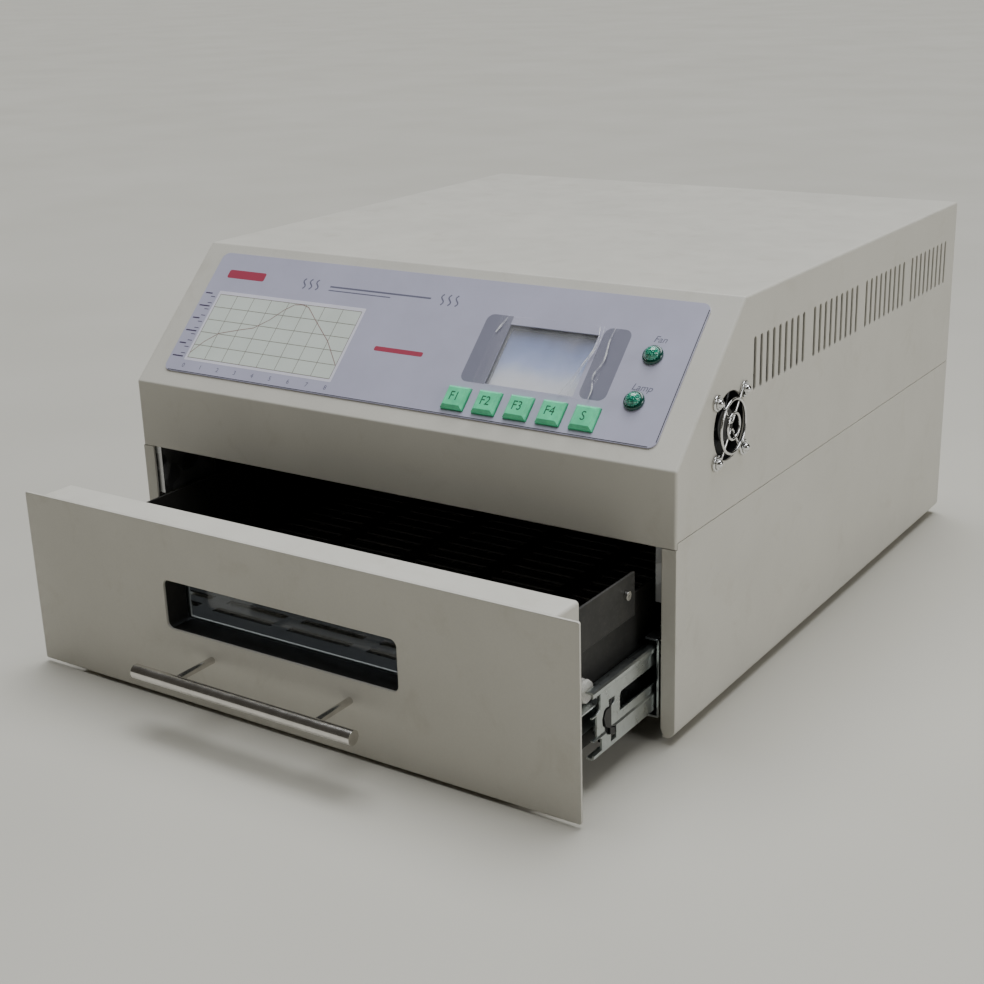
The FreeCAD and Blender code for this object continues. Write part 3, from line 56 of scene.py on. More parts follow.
def high(node):
    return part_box(node)[1]


HALF = high("base_shell").x
FASCIA_Y = low("base_shell").y
TOP_Z = high("cover_shell").z
SLANT_Z = 151 * MM
SLANT_RUN = 76 * MM
SLOPE = math.atan2(TOP_Z - SLANT_Z, SLANT_RUN)


def on_panel(x, t, q=0.0):
    """A point of the sloping panel: x across, t up the slope, q out from the sheet, in mm."""
    return Vector((
        x * MM,
        FASCIA_Y + (t * math.cos(SLOPE) - q * math.sin(SLOPE)) * MM,
        SLANT_Z + (t * math.sin(SLOPE) + q * math.cos(SLOPE)) * MM,
    ))


# ---------------------------------------------------------------- materials

def srgb(r, g, b, alpha=1.0):
    """A colour given as the 0-255 numbers of a colour picker, as the linear one Blender wants."""
    def linear(c):
        c /= 255
        return c / 12.92 if c <= 0.04045 else ((c + 0.055) / 1.055) ** 2.4
    return (linear(r), linear(g), linear(b), alpha)


def shade(color, factor):
    return tuple(c * factor for c in color[:3]) + (1.0,)


class Recipe:
    """A node material in the making.  Its methods add texture nodes and return their sockets."""

    def __init__(self, name, **settings):
        self.material = bpy.data.materials.new(name)
        self.material.use_nodes = True
        self.tree = self.material.node_tree
        self.tree.nodes.clear()
        self.shader = self.add("ShaderNodeBsdfPrincipled")
        output = self.add("ShaderNodeOutputMaterial")
        self.tree.links.new(self.shader.outputs["BSDF"], output.inputs["Surface"])
        self.place = self.add("ShaderNodeTexCoord").outputs["Object"]
        self.normal = None
        for key, setting in settings.items():
            self.shader.inputs[key.replace("_", " ")].default_value = setting

    def add(self, kind, **settings):
        made = self.tree.nodes.new(kind)
        for key, setting in settings.items():
            setattr(made, key, setting)
        return made

    def put(self, socket, source):
        """Sets a socket from another socket or from a plain value."""
        if isinstance(source, bpy.types.NodeSocket):
            self.tree.links.new(source, socket)
        else:
            socket.default_value = source

    def stretched(self, x=1, y=1, z=1):
        scaling = self.add("ShaderNodeMapping")
        self.tree.links.new(self.place, scaling.inputs["Vector"])
        scaling.inputs["Scale"].default_value = (x, y, z)
        return scaling.outputs["Vector"]

    def noise(self, size, detail=3, rough=0.55, where=None, warp=0.0):
        """Soft noise whose lumps are about size mm across."""
        made = self.add("ShaderNodeTexNoise")
        self.tree.links.new(where or self.place, made.inputs["Vector"])
        made.inputs["Scale"].default_value = 1 / (size * MM)
        made.inputs["Detail"].default_value = detail
        made.inputs["Roughness"].default_value = rough
        made.inputs["Distortion"].default_value = warp
        return made.outputs["Fac"]

    def cells(self, size, feature="F1", output="Distance", where=None, random=1.0):
        made = self.add("ShaderNodeTexVoronoi", feature=feature)
        self.tree.links.new(where or self.place, made.inputs["Vector"])
        made.inputs["Scale"].default_value = 1 / (size * MM)
        made.inputs["Randomness"].default_value = random
        return made.outputs[output]

    def ramp(self, source, *stops):
        """Colours or grey values at places from 0 to 1."""
        made = self.add("ShaderNodeValToRGB")
        elements = made.color_ramp.elements
        while len(elements) < len(stops):
            elements.new(0.5)
        for element, (place, color) in zip(elements, stops):
            element.position = place
            element.color = color if isinstance(color, tuple) else (color, color, color, 1)
        self.tree.links.new(source, made.inputs["Fac"])
        return made.outputs["Color"]

    def blend(self, factor, a, b, how="MIX"):
        made = self.add("ShaderNodeMix", data_type="RGBA", blend_type=how)
        self.put(made.inputs["Factor"], factor)
        self.put(made.inputs[6], a)
        self.put(made.inputs[7], b)
        return made.outputs[2]

    def math(self, how, a, b=0.0, clamp=False):
        made = self.add("ShaderNodeMath", operation=how, use_clamp=clamp)
        self.put(made.inputs[0], a)
        self.put(made.inputs[1], b)
        return made.outputs[0]

    def span(self, source, lowest, highest):
        """A 0-1 value spread between two others."""
        made = self.add("ShaderNodeMapRange")
        self.tree.links.new(source, made.inputs["Value"])
        made.inputs["To Min"].default_value = lowest
        made.inputs["To Max"].default_value = highest
        return made.outputs["Result"]

    def bump(self, height, deep, strength=1.0):
        """Raises the surface by up to deep mm, on top of any earlier bump."""
        made = self.add("ShaderNodeBump")
        made.inputs["Strength"].default_value = strength
        made.inputs["Distance"].default_value = deep * MM
        self.tree.links.new(height, made.inputs["Height"])
        if self.normal is not None:
            self.tree.links.new(self.normal, made.inputs["Normal"])
        self.normal = made.outputs["Normal"]
        self.tree.links.new(self.normal, self.shader.inputs["Normal"])

    def soften(self, radius):
        """Rounds sharp edges in the shading, and returns a mask of where they are."""
        made = self.add("ShaderNodeBevel", samples=6)
        made.inputs["Radius"].default_value = radius * MM
        true = self.add("ShaderNodeNewGeometry").outputs["Normal"]
        alike = self.add("ShaderNodeVectorMath", operation="DOT_PRODUCT")
        self.tree.links.new(made.outputs["Normal"], alike.inputs[0])
        self.tree.links.new(true, alike.inputs[1])
        self.normal = made.outputs["Normal"]
        self.tree.links.new(self.normal, self.shader.inputs["Normal"])
        return self.math("SUBTRACT", 1.0, alike.outputs["Value"], clamp=True)

    def paint(self, color, rough):
        self.put(self.shader.inputs["Base Color"], color)
        self.put(self.shader.inputs["Roughness"], rough)
        return self.material


def powder_coat(name, color):
    """Cream powder coat: fine orange peel, faint mottling and handling marks, and a painted highlight along its
    edges.
    """
    r = Recipe(name, Coat_Weight=0.12, Coat_Roughness=0.35)
    edge = r.soften(0.9)
    mottled = r.ramp(r.noise(55, 4), (0.3, shade(color, 0.955)), (0.7, shade(color, 1.03)))
    speckled = r.blend(r.ramp(r.noise(0.9, 2), (0.35, 0.0), (0.75, 0.16)), mottled, shade(color, 1.18))
    grime = r.ramp(r.noise(24, 6, 0.65, warp=0.6), (0.56, 0.0), (0.78, 0.16))
    dirty = r.blend(grime, speckled, shade(srgb(150, 138, 110), 1.0))
    # Painted highlight: the colour is lightened along sharp edges, where they would catch the light.
    wear_and_edge_highlight = r.blend(r.math("MULTIPLY", edge, 1.3, clamp=True), dirty, shade(color, 1.16))
    r.bump(r.noise(1.3, 2, 0.4), 0.055, 0.55)
    r.bump(r.noise(60, 2), 0.3, 0.12)
    return r.paint(wear_and_edge_highlight, r.span(r.noise(17, 5), 0.36, 0.56))


def black_coat(name, tone=0.016, dust=0.35):
    """Matt heat-proof black with a little dust, and a painted highlight along its edges."""
    r = Recipe(name)
    edge = r.soften(0.35)
    dark = (tone, tone, tone * 0.95, 1)
    pale = (tone * 1.9, tone * 1.8, tone * 1.6, 1)
    base = r.ramp(r.noise(20, 4), (0.3, dark), (0.75, pale))
    dusty = r.blend(r.ramp(r.noise(2.2, 5, 0.7), (0.52, 0.0), (0.8, dust)), base, (0.09, 0.085, 0.07, 1))
    # Painted highlight: the black is lightened to grey along sharp edges, where they would catch the light.
    dust_and_edge_highlight = r.blend(r.math("MULTIPLY", edge, 1.6, clamp=True), dusty, (0.23, 0.22, 0.2, 1))
    r.bump(r.noise(0.7, 2), 0.05, 0.5)
    return r.paint(dust_and_edge_highlight, r.span(r.noise(9, 4), 0.42, 0.68))


def zinc(name, color, spangle=5.0, rough=(0.28, 0.5)):
    """Galvanised sheet: crystals of slightly different tone and gloss, with rubbing marks and a painted
    highlight along its edges.
    """
    r = Recipe(name, Metallic=1.0)
    edge = r.soften(0.3)
    crystal = r.cells(spangle, output="Color")
    grey = r.add("ShaderNodeRGBToBW")
    r.put(grey.inputs[0], crystal)
    tone = r.ramp(grey.outputs[0], (0.2, shade(color, 0.78)), (0.8, shade(color, 1.12)))
    scratch = r.ramp(r.noise(0.5, 3, 0.6, r.stretched(1, 0.03, 1)), (0.5, 0.0), (0.8, 0.4))
    wear_and_edge_highlight = r.blend(scratch, tone, shade(color, 1.35))
    # Painted highlight: the sheet is lightened along sharp edges.
    spangle_with_edge_highlight = r.blend(r.math("MULTIPLY", edge, 1.5, clamp=True), wear_and_edge_highlight, shade(color, 1.5))
    r.bump(r.noise(0.6, 3, 0.6, r.stretched(1, 0.04, 1)), 0.02, 0.4)
    return r.paint(spangle_with_edge_highlight, r.span(grey.outputs[0], *rough))


def bright_metal(name, color, rough=(0.06, 0.18), grain=None):
    """Plated or polished metal with faint smears, a painted highlight along its edges and, where grain is given,
    fine brushing along it.
    """
    r = Recipe(name, Metallic=1.0)
    edge = r.soften(0.25)
    smear = r.noise(7, 5, 0.65, warp=0.4)
    tone = r.ramp(smear, (0.3, shade(color, 0.86)), (0.7, shade(color, 1.05)))
    # Painted highlight: the metal is lightened along sharp edges.
    smears_and_edge_highlight = r.blend(edge, tone, shade(color, 1.2))
    if grain:
        r.bump(r.noise(0.25, 3, 0.6, r.stretched(*grain)), 0.008, 0.5)
    else:
        r.bump(r.noise(2.5, 2), 0.01, 0.4)
    return r.paint(smears_and_edge_highlight, r.span(smear, *rough))


def moulded(name, color, rough=(0.3, 0.45), grain=0.35, deep=0.02, **settings):
    """Moulded plastic or rubber: fine spark-eroded grain, faint tone changes and a painted highlight along the
    edges.
    """
    r = Recipe(name, **settings)
    edge = r.soften(0.3)
    tone = r.ramp(r.noise(6, 4), (0.3, shade(color, 0.85)), (0.7, shade(color, 1.12)))
    # Painted highlight: the colour is lightened along sharp edges, where they would catch the light.
    wear_and_edge_highlight = r.blend(r.math("MULTIPLY", edge, 0.8, clamp=True), tone, shade(color, 1.6))
    r.bump(r.noise(grain, 2), deep, 0.5)
    return r.paint(wear_and_edge_highlight, r.span(r.noise(3, 4), *rough))


def clear(name, tint, rough=(0.02, 0.1), ior=1.5, through=1.0, marks=5.0, cover=1.0):
    """Clear glass or plastic with faint smears that only show in the gloss."""
    r = Recipe(name, Transmission_Weight=through, IOR=ior, Alpha=cover)
    smear = r.noise(marks, 5, 0.6, warp=0.8)
    tone = r.ramp(smear, (0.3, shade(tint, 0.96)), (0.7, shade(tint, 1.0)))
    r.bump(r.noise(marks * 1.5, 2), 0.02, 0.3)
    return r.paint(tone, r.span(smear, *rough))


def fibre(name, color):
    """Needled ceramic fibre."""
    r = Recipe(name, Sheen_Weight=0.3)
    strand = r.noise(0.6, 5, 0.75, r.stretched(1, 0.25, 1), warp=1.0)
    tone = r.ramp(strand, (0.3, shade(color, 0.7)), (0.65, shade(color, 1.05)))
    r.bump(strand, 0.4, 0.8)
    r.bump(r.noise(6, 3), 1.2, 0.5)
    return r.paint(tone, r.span(strand, 0.8, 0.98))


def circuit(name):
    """Green solder resist over copper tracks."""
    r = Recipe(name, Coat_Weight=0.5, Coat_Roughness=0.15)
    track = r.ramp(r.cells(4, "DISTANCE_TO_EDGE", random=0.75), (0.045, 1.0), (0.06, 0.0))
    tone = r.blend(track, srgb(18, 74, 38), srgb(46, 122, 62))
    r.bump(track, 0.04, 0.8)
    return r.paint(tone, r.span(r.noise(4, 3), 0.3, 0.45))


def printed(name, color, rough=(0.3, 0.42), speckle=0.05):
    """Screen-printed ink or a satin printed film."""
    r = Recipe(name)
    tone = r.ramp(r.noise(30, 4), (0.3, shade(color, 1 - speckle)), (0.7, shade(color, 1 + speckle)))
    dots = r.blend(r.ramp(r.noise(0.5, 2), (0.4, 0.0), (0.8, 0.12)), tone, shade(color, 1.25))
    r.bump(r.noise(0.8, 2), 0.012, 0.4)
    return r.paint(dots, r.span(r.noise(11, 4), *rough))


CREAM = srgb(214, 211, 201)
M = {
    "casing": powder_coat("cream_powder_coat", CREAM),
    "black": black_coat("black_heat_coat"),
    "tray": black_coat("black_tray_coat", 0.02, 0.5),
    "galvanised": zinc("galvanised_sheet", (0.6, 0.61, 0.62, 1), 9.0, (0.3, 0.55)),
    "slide": bright_metal("zinc_plated_slide", (0.58, 0.62, 0.62, 1), (0.22, 0.36)),
    "reflector": bright_metal("polished_reflector", (0.85, 0.84, 0.82, 1), (0.08, 0.25), (0.03, 1, 1)),
    "chrome": bright_metal("chrome_wire", (0.8, 0.8, 0.8, 1), (0.05, 0.16)),
    "handle": bright_metal("brushed_handle", (0.72, 0.7, 0.67, 1), (0.14, 0.26), (0.04, 1, 1)),
    "screw": bright_metal("plated_screw", (0.66, 0.65, 0.62, 1), (0.18, 0.34)),
    "label": printed("printed_label_film", srgb(190, 189, 210)),
    "lens": clear("display_lens_plastic", (0.9, 0.92, 0.98, 1), (0.03, 0.1), 1.45, 0.0, 9.0, 0.12),
    "pane": clear("tinted_window_glass", (0.42, 0.46, 0.5, 1), (0.02, 0.06), 1.5),
    "quartz": clear("quartz_tube", (0.95, 0.94, 0.9, 1)),
    "board": circuit("circuit_board"),
    "plastic": moulded("black_moulded_plastic", (0.018, 0.018, 0.019, 1)),
    "rubber": moulded("black_rubber_feet", (0.02, 0.02, 0.02, 1), (0.6, 0.8), 0.5, 0.05),
    "key": moulded("green_key_plastic", srgb(100, 236, 176), (0.25, 0.4), 0.6, 0.02, Subsurface_Weight=0.15,
                   Subsurface_Radius=(0.002, 0.004, 0.002)),
    "ceramic": moulded("white_ceramic", srgb(226, 220, 205), (0.5, 0.7), 0.8, 0.05),
    "fibre": fibre("ceramic_fibre", srgb(232, 230, 222)),
    "lcd_frame": zinc("display_bezel_steel", (0.5, 0.5, 0.5, 1), 6.0),
    "element": bright_metal("resistance_wire", (0.4, 0.34, 0.3, 1), (0.35, 0.5), (1, 0.03, 0.03)),
}

LOOKS = {
    "casing": ["base_shell", "cover_shell", "rear_panel", "front_plate", "front_box"],
    "black": ["chamber_liner", "window_frame", "drawer_side_left", "drawer_side_right", "side_bracket"],
    "tray": ["slotted_tray"],
    "galvanised": ["front_brackets", "slide_mounts", "tube_rails"],
    "slide": [f"slide_{part}_{hand}" for part in ("outer", "middle", "inner") for hand in ("left", "right")],
    "reflector": ["heater_reflector"],
    "chrome": ["exhaust_fan_guard", "side_fan_guard", "fan_screws"],
    "handle": ["handle_bar", "handle_posts"],
    "screw": ["case_screws", "drawer_screws", "thermocouple"]
             + [f"cage_{row}_{hand}" for row in ("outer", "inner") for hand in ("left", "right")],
    "label": ["control_label"],
    "lens": ["display_lens"],
    "pane": ["window_glass"],
    "quartz": ["heater_tubes"],
    "board": ["control_board", "power_board"],
    "plastic": ["side_fan_frame", "side_fan_rotor", "exhaust_fan_frame", "exhaust_fan_rotor", "mains_inlet",
                "switch_frame", "switch_rocker", "slide_clip_left", "slide_clip_right"],
    "rubber": ["feet"],
    "key": ["key_f1", "key_f2", "key_f3", "key_f4", "key_s", "indicator_lamps"],
    "ceramic": ["tube_caps"],
    "fibre": ["insulation_blanket", "insulation_rolls"],
    "lcd_frame": ["lcd_module"],
}
for look, names in LOOKS.items():
    for name in names:
        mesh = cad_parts[name].data
        mesh.materials.clear()
        mesh.materials.append(M[look])

# The resistance element is the part of each tube within ELEMENT_REACH of its axis, all in mm.
TUBE_FIRST, TUBE_STEP, TUBE_HEIGHT = 80, 55, 138
ELEMENT_REACH = 2.5
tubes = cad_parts["heater_tubes"]
tubes.data.materials.append(M["element"])
for face in tubes.data.polygons:
    spot = tubes.matrix_world @ face.center
    behind_first = (spot.y - FASCIA_Y) / MM - TUBE_FIRST
    from_axis = (behind_first + TUBE_STEP / 2) % TUBE_STEP - TUBE_STEP / 2
    face.material_index = int(math.hypot(from_axis, spot.z / MM - TUBE_HEIGHT) < ELEMENT_REACH)


# ---------------------------------------------------------------- pieces

def piece(name, bm, materials, body="casing", slot=None, smooth=False):
    """Makes a named piece of a finished mesh, riding on a body."""
    bmesh.ops.recalc_face_normals(bm, faces=bm.faces)
    mesh = bpy.data.meshes.new(name)
    bm.to_mesh(mesh)
    bm.free()
    for material in materials:
        mesh.materials.append(material)
    for polygon in mesh.polygons:
        polygon.use_smooth = smooth
    made = bpy.data.objects.new(name, mesh)
    bpy.context.scene.collection.objects.link(made)
    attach(made, body)
    return made


def slab(bm, outline, low_q, high_q, look=0):
    """A flat plate on the panel with this outline of (x, t), between two heights above the sheet."""
    rings = [[bm.verts.new(on_panel(x, t, q)) for x, t in outline] for q in (low_q, high_q)]
    faces = [bm.faces.new(ring) for ring in rings]
    total = len(outline)
    for i in range(total):
        k = (i + 1) % total
        faces.append(bm.faces.new((rings[0][i], rings[0][k], rings[1][k], rings[1][i])))
    for face in faces:
        face.material_index = look


def rounded(x0, x1, t0, t1, radius, steps=5):
    """The outline of a rectangle with rounded corners."""
    spots = []
    for cx, ct, start in ((x1 - radius, t1 - radius, 0), (x0 + radius, t1 - radius, 90),
                          (x0 + radius, t0 + radius, 180), (x1 - radius, t0 + radius, 270)):
        for i in range(steps + 1):
            turn = math.radians(start + 90 * i / steps)
            spots.append((cx + radius * math.cos(turn), ct + radius * math.sin(turn)))
    return spots


def bar(start, end, width):
    """The outline of a straight line of some width."""
    (x0, t0), (x1, t1) = start, end
    long = math.hypot(x1 - x0, t1 - t0)
    nx, nt = -(t1 - t0) / long * width / 2, (x1 - x0) / long * width / 2
    return [(x0 + nx, t0 + nt), (x0 - nx, t0 - nt), (x1 - nx, t1 - nt), (x1 + nx, t1 + nt)]


def letters(bm, text, x, t, tall, q, look=0, lean=0.0, stretch=1.0, bold=0.0):
    """Prints text centred on a spot of the panel."""
    curve = bpy.data.curves.new("letters", "FONT")
    curve.body = text
    curve.size = tall / 0.72
    curve.align_x, curve.align_y = "CENTER", "CENTER"
    curve.shear = lean
    curve.offset = bold
    curve.extrude = 0.02
    curve.resolution_u = 4
    holder = bpy.data.objects.new("letters", curve)
    bpy.context.scene.collection.objects.link(holder)
    bpy.context.view_layer.update()
    mesh = bpy.data.meshes.new_from_object(holder.evaluated_get(bpy.context.evaluated_depsgraph_get()))
    start = len(bm.verts)
    before = len(bm.faces)
    bm.from_mesh(mesh)
    bm.verts.ensure_lookup_table()
    bm.faces.ensure_lookup_table()
    for vertex in bm.verts[start:]:
        local = vertex.co.copy()
        vertex.co = on_panel(x + local.x * stretch, t + local.y, q + 0.02 + local.z)
    for face in bm.faces[before:]:
        face.material_index = look
    bpy.data.objects.remove(holder)
    bpy.data.curves.remove(curve)
    bpy.data.meshes.remove(mesh)


# ---------------------------------------------------------------- the panel's print

CHART_X, CHART_T = (-155.5, -44.5), (21.0, 67.5)
CHART_COLUMNS, CHART_ROWS = 8, 5
KEY_NAMES = [("f1", "F1"), ("f2", "F2"), ("f3", "F3"), ("f4", "F4"), ("s", "S")]
KEY_X = [44.4, 64.6, 84.8, 105.0, 125.2]
KEY_T = 21.0


def label_print():
    """Temperature chart, screen pillars, captions, plain marks in place of any name, and painted shadow lines
    along the label's bottom and right edges.
    """
    inks = [printed(name, srgb(*tone), rough) for name, tone, rough in (
        ("chart_ground_ink", (222, 230, 222), (0.3, 0.4)), ("chart_border_ink", (232, 230, 242), (0.3, 0.4)),
        ("chart_grid_ink", (132, 124, 112), (0.35, 0.45)), ("pillar_ink", (134, 134, 152), (0.3, 0.4)),
        ("caption_ink", (112, 112, 132), (0.35, 0.45)), ("scale_ink", (74, 64, 92), (0.35, 0.45)),
        ("mark_red_ink", (176, 70, 92), (0.3, 0.4)), ("label_edge_shadow_ink", (40, 38, 48), (0.3, 0.45)),
        ("trace_ink", (150, 112, 108), (0.35, 0.45)))]
    ground, border, grid, pillar, caption, scale, red, dark, trace = range(9)
    q = 0.8
    bm = bmesh.new()
    (x0, x1), (t0, t1) = CHART_X, CHART_T
    slab(bm, rounded(x0 - 2, x1 + 2, t0 - 2, t1 + 2.5, 0.6), q, q + 0.03, border)
    slab(bm, rounded(x0, x1, t0, t1, 0.2), q + 0.03, q + 0.05, ground)
    for i in range(CHART_COLUMNS + 1):
        x = x0 + (x1 - x0) * i / CHART_COLUMNS
        slab(bm, bar((x, t0), (x, t1), 0.34), q + 0.05, q + 0.07, grid)
        letters(bm, str(i), x, t0 - 6, 3.0, q, caption)
    for i in range(CHART_ROWS + 1):
        t = t0 + (t1 - t0) * i / CHART_ROWS
        slab(bm, bar((x0, t), (x1, t), 0.34), q + 0.07, q + 0.09, grid)
        slab(bm, bar((x0 - 12.5, t), (x0 - 4 - 3 * (i % 2), t), 0.9), q, q + 0.03, scale)
    for i in range(CHART_ROWS * 2):
        t = t0 + (t1 - t0) * (i + 0.5) / (CHART_ROWS * 2)
        slab(bm, bar((x0 - 7, t), (x0 - 3.5, t), 0.5), q, q + 0.03, scale)
    profile = [(-155.5, 24), (-149, 33), (-141, 40), (-128, 44), (-117, 47), (-108, 54), (-101, 62), (-95, 66.6),
               (-89, 67.2), (-84, 66), (-73.7, 57.4), (-58.4, 45.2), (-44.6, 30.1)]
    for start, end in zip(profile, profile[1:]):
        slab(bm, bar(start, end, 0.42), q + 0.09, q + 0.11, trace)
    slab(bm, [(57, 32.5), (57, 76.8)] + rounded(40.5, 57, 32.5, 76.8, 4.5)[6:18], q, q + 0.03, pillar)
    slab(bm, rounded(115.5, 131.8, 32.5, 76.8, 4.5), q, q + 0.03, pillar)
    letters(bm, "Fan", 149, 73.2, 4.0, q, caption, lean=0.25)
    letters(bm, "Lamp", 149.8, 43.6, 4.0, q, caption, lean=0.25)
    slab(bm, rounded(-158, -128, 80, 86, 1.4), q, q + 0.03, red)
    slab(bm, rounded(-24, 10, 43.5, 46.5, 1.0), q, q + 0.03, red)
    for k in range(3):
        for x in (-96 + 5 * k, 6 + 5 * k):
            wave = [(x + 1.3 * math.sin(i * math.pi / 4), 78.5 + i * 0.9) for i in range(9)]
            for start, end in zip(wave, wave[1:]):
                slab(bm, bar(start, end, 0.9), q, q + 0.03, caption)
    slab(bm, bar((-76, 82), (-2, 82), 1.1), q, q + 0.03, caption)
    slab(bm, bar((-76, 79.4), (-30, 79.4), 0.7), q, q + 0.03, caption)
    # Painted shadow: thin dark lines along the label's bottom and right edges, standing for the shade at the
    # label's edge.
    for start, end in (((-166, 10.9), (165.5, 10.9)), ((169.2, 14), (169.2, 94.5))):
        slab(bm, bar(start, end, 0.5), q, q + 0.03, dark)
    piece("label_print", bm, inks, slot="label_film")


def key_legends():
    ink = printed("legend_ink", srgb(34, 92, 62), (0.35, 0.5))
    for (name, text), x in zip(KEY_NAMES, KEY_X):
        bm = bmesh.new()
        letters(bm, text, x, KEY_T, 5.6, 3.8, stretch=0.85)
        piece(f"legend_{name}", bm, [ink], body=f"key_{name}_cap", slot="green_key")


# ---------------------------------------------------------------- screen, lamps and guard

def display_face():
    """The liquid crystal's own face, paler towards its lower edge."""
    r = Recipe("lcd_face_glass", Coat_Weight=0.6, Coat_Roughness=0.08)
    split = r.add("ShaderNodeSeparateXYZ")
    r.put(split.inputs[0], r.place)
    rise = r.add("ShaderNodeMapRange")
    r.put(rise.inputs["Value"], split.outputs["Z"])
    rise.inputs["From Min"].default_value = on_panel(0, 34).z
    rise.inputs["From Max"].default_value = on_panel(0, 70).z
    wavy = r.math("ADD", rise.outputs["Result"], r.math("MULTIPLY", r.noise(22, 2), 0.35))
    tone = r.ramp(r.math("SUBTRACT", wavy, 0.17), (0.0, srgb(252, 252, 255)), (0.16, srgb(240, 243, 255)),
                  (0.4, srgb(188, 202, 246)), (0.7, srgb(142, 160, 212)), (0.93, srgb(96, 100, 136)))
    r.bump(r.noise(14, 2), 0.05, 0.4)
    material = r.paint(tone, r.span(r.noise(9, 3), 0.1, 0.2))
    bm = bmesh.new()
    slab(bm, rounded(57.6, 112.0, 34.3, 70.2, 0.6), -3.35, -2.6)
    piece("lcd_face", bm, [material], slot="lcd")


def film_height(x, t):
    """How far the protective film stands off, with folds along its right and a ripple elsewhere."""
    lift = 0.25 + 0.06 * math.sin(x * 0.2 + t * 0.1) * math.sin(t * 0.12)
    for fold, wide, tall in FOLDS:
        near = min(math.hypot(x - fx, (t - ft) * 0.35) for fx, ft in fold)
        lift += tall * math.exp(-(near / wide) ** 2)
    return lift


def along(path, steps):
    """Evenly numbered spots on a smooth curve through the given ones."""
    spots = []
    total = len(path) - 1
    for i in range(steps + 1):
        u = i / steps * total
        k = min(int(u), total - 1)
        f = u - k
        p0, p1, p2, p3 = (path[min(max(k + j, 0), total)] for j in (-1, 0, 1, 2))
        spots.append(tuple(
            0.5 * (2 * b + (c - a) * f + (2 * a - 5 * b + 4 * c - d) * f * f + (3 * b - a - 3 * c + d) * f ** 3)
            for a, b, c, d in zip(p0, p1, p2, p3)))
    return spots


FOLD_LEFT = along([(112, 76.4), (114.2, 68), (113.9, 60), (111.6, 52), (108.4, 42), (104.6, 31.8)], 24)
FOLD_MIDDLE = along([(114.9, 76.6), (115.6, 66), (114.2, 57), (111.8, 49), (110, 41), (109.2, 31.8)], 24)
FOLD_RIGHT = along([(121.6, 76.6), (121.2, 68), (122.6, 56), (120.2, 46), (122.6, 38), (122.8, 31.8)], 24)
FOLD_CORNER = along([(53.8, 75), (52.2, 70), (50.4, 65)], 10)
FOLDS = [(FOLD_LEFT, 1.1, 0.9), (FOLD_MIDDLE, 1.0, 1.0), (FOLD_RIGHT, 1.6, 1.0), (FOLD_CORNER, 1.3, 0.7)]


def display_wrap():
    """Thin protective film over the screen, with the creases that catch the light."""
    r = Recipe("clear_protective_film", Alpha=0.12, Coat_Weight=1.0, Coat_Roughness=0.04)
    cloudy = r.noise(26, 3, 0.5, r.stretched(1.6, 0.7, 0.7), warp=0.5)
    r.put(r.shader.inputs["Alpha"], r.ramp(cloudy, (0.4, 0.04), (0.8, 0.16)))
    r.bump(r.noise(24, 2, 0.5), 0.12, 0.4)
    tone = r.ramp(cloudy, (0.3, srgb(206, 206, 222)), (0.7, srgb(244, 242, 250)))
    film = r.paint(tone, r.span(cloudy, 0.06, 0.2))
    columns, rows = 96, 48
    bm = bmesh.new()
    grid = []
    for i in range(columns + 1):
        x = 49.2 + (123.4 - 49.2) * i / columns
        row = []
        for j in range(rows + 1):
            t = 31.6 + (76.9 - 31.6) * j / rows
            row.append(bm.verts.new(on_panel(x, t, 0.85 + film_height(x, t))))
        grid.append(row)
    for i in range(columns):
        for j in range(rows):
            bm.faces.new((grid[i][j], grid[i + 1][j], grid[i + 1][j + 1], grid[i][j + 1]))
    wrap = piece("display_wrap", bm, [film], slot="clear", smooth=True)
    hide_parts("display_film")

    glint = Recipe("film_crease_glint", Alpha=0.9, Coat_Weight=1.0, Coat_Roughness=0.05)
    streak = glint.noise(2.6, 4, 0.7, glint.stretched(1, 0.35, 0.35))
    glint.put(glint.shader.inputs["Alpha"], glint.ramp(streak, (0.36, 0.15), (0.6, 0.95)))
    white = glint.paint(glint.ramp(streak, (0.3, srgb(226, 228, 240)), (0.7, srgb(255, 255, 255))),
                        glint.span(streak, 0.05, 0.15))
    bm = bmesh.new()
    for fold, wide in ((FOLD_LEFT, 0.75), (FOLD_MIDDLE, 0.65), (FOLD_RIGHT, 1.1), (FOLD_CORNER, 1.5)):
        total = len(fold) - 1
        rail = []
        for i, (x, t) in enumerate(fold):
            half = wide / 2 * (0.35 + 0.65 * math.sin(math.pi * (i + 0.6) / (total + 1.2)))
            rise = 0.85 + film_height(x, t)
            across = ((-half, -0.1), (0, 0.14), (half, -0.1))
            rail.append([bm.verts.new(on_panel(x + dx, t, rise + dq)) for dx, dq in across])
        for a, b in zip(rail, rail[1:]):
            for k in (0, 1):
                bm.faces.new((a[k], a[k + 1], b[k + 1], b[k]))
    piece("film_creases", bm, [white], slot="clear", smooth=True)


def lathe(bm, frame_at, profile, sides=32, look=0):
    """Turns a profile of (radius, height) about the third axis of a matrix."""
    rows = []
    for radius, height in profile:
        row = []
        for i in range(sides):
            turn = 2 * math.pi * i / sides
            spot = Vector((radius * math.cos(turn), radius * math.sin(turn), height)) * MM
            row.append(bm.verts.new(frame_at @ spot))
        rows.append(row)
    for a, b in zip(rows, rows[1:]):
        for i in range(sides):
            k = (i + 1) % sides
            bm.faces.new((a[i], a[k], b[k], b[i])).material_index = look
    for row in (rows[0], rows[-1]):
        bm.faces.new(row).material_index = look


def panel_spot(x, t, q):
    return Matrix.Translation(on_panel(x, t, q)) @ Matrix.Rotation(SLOPE, 4, "X")


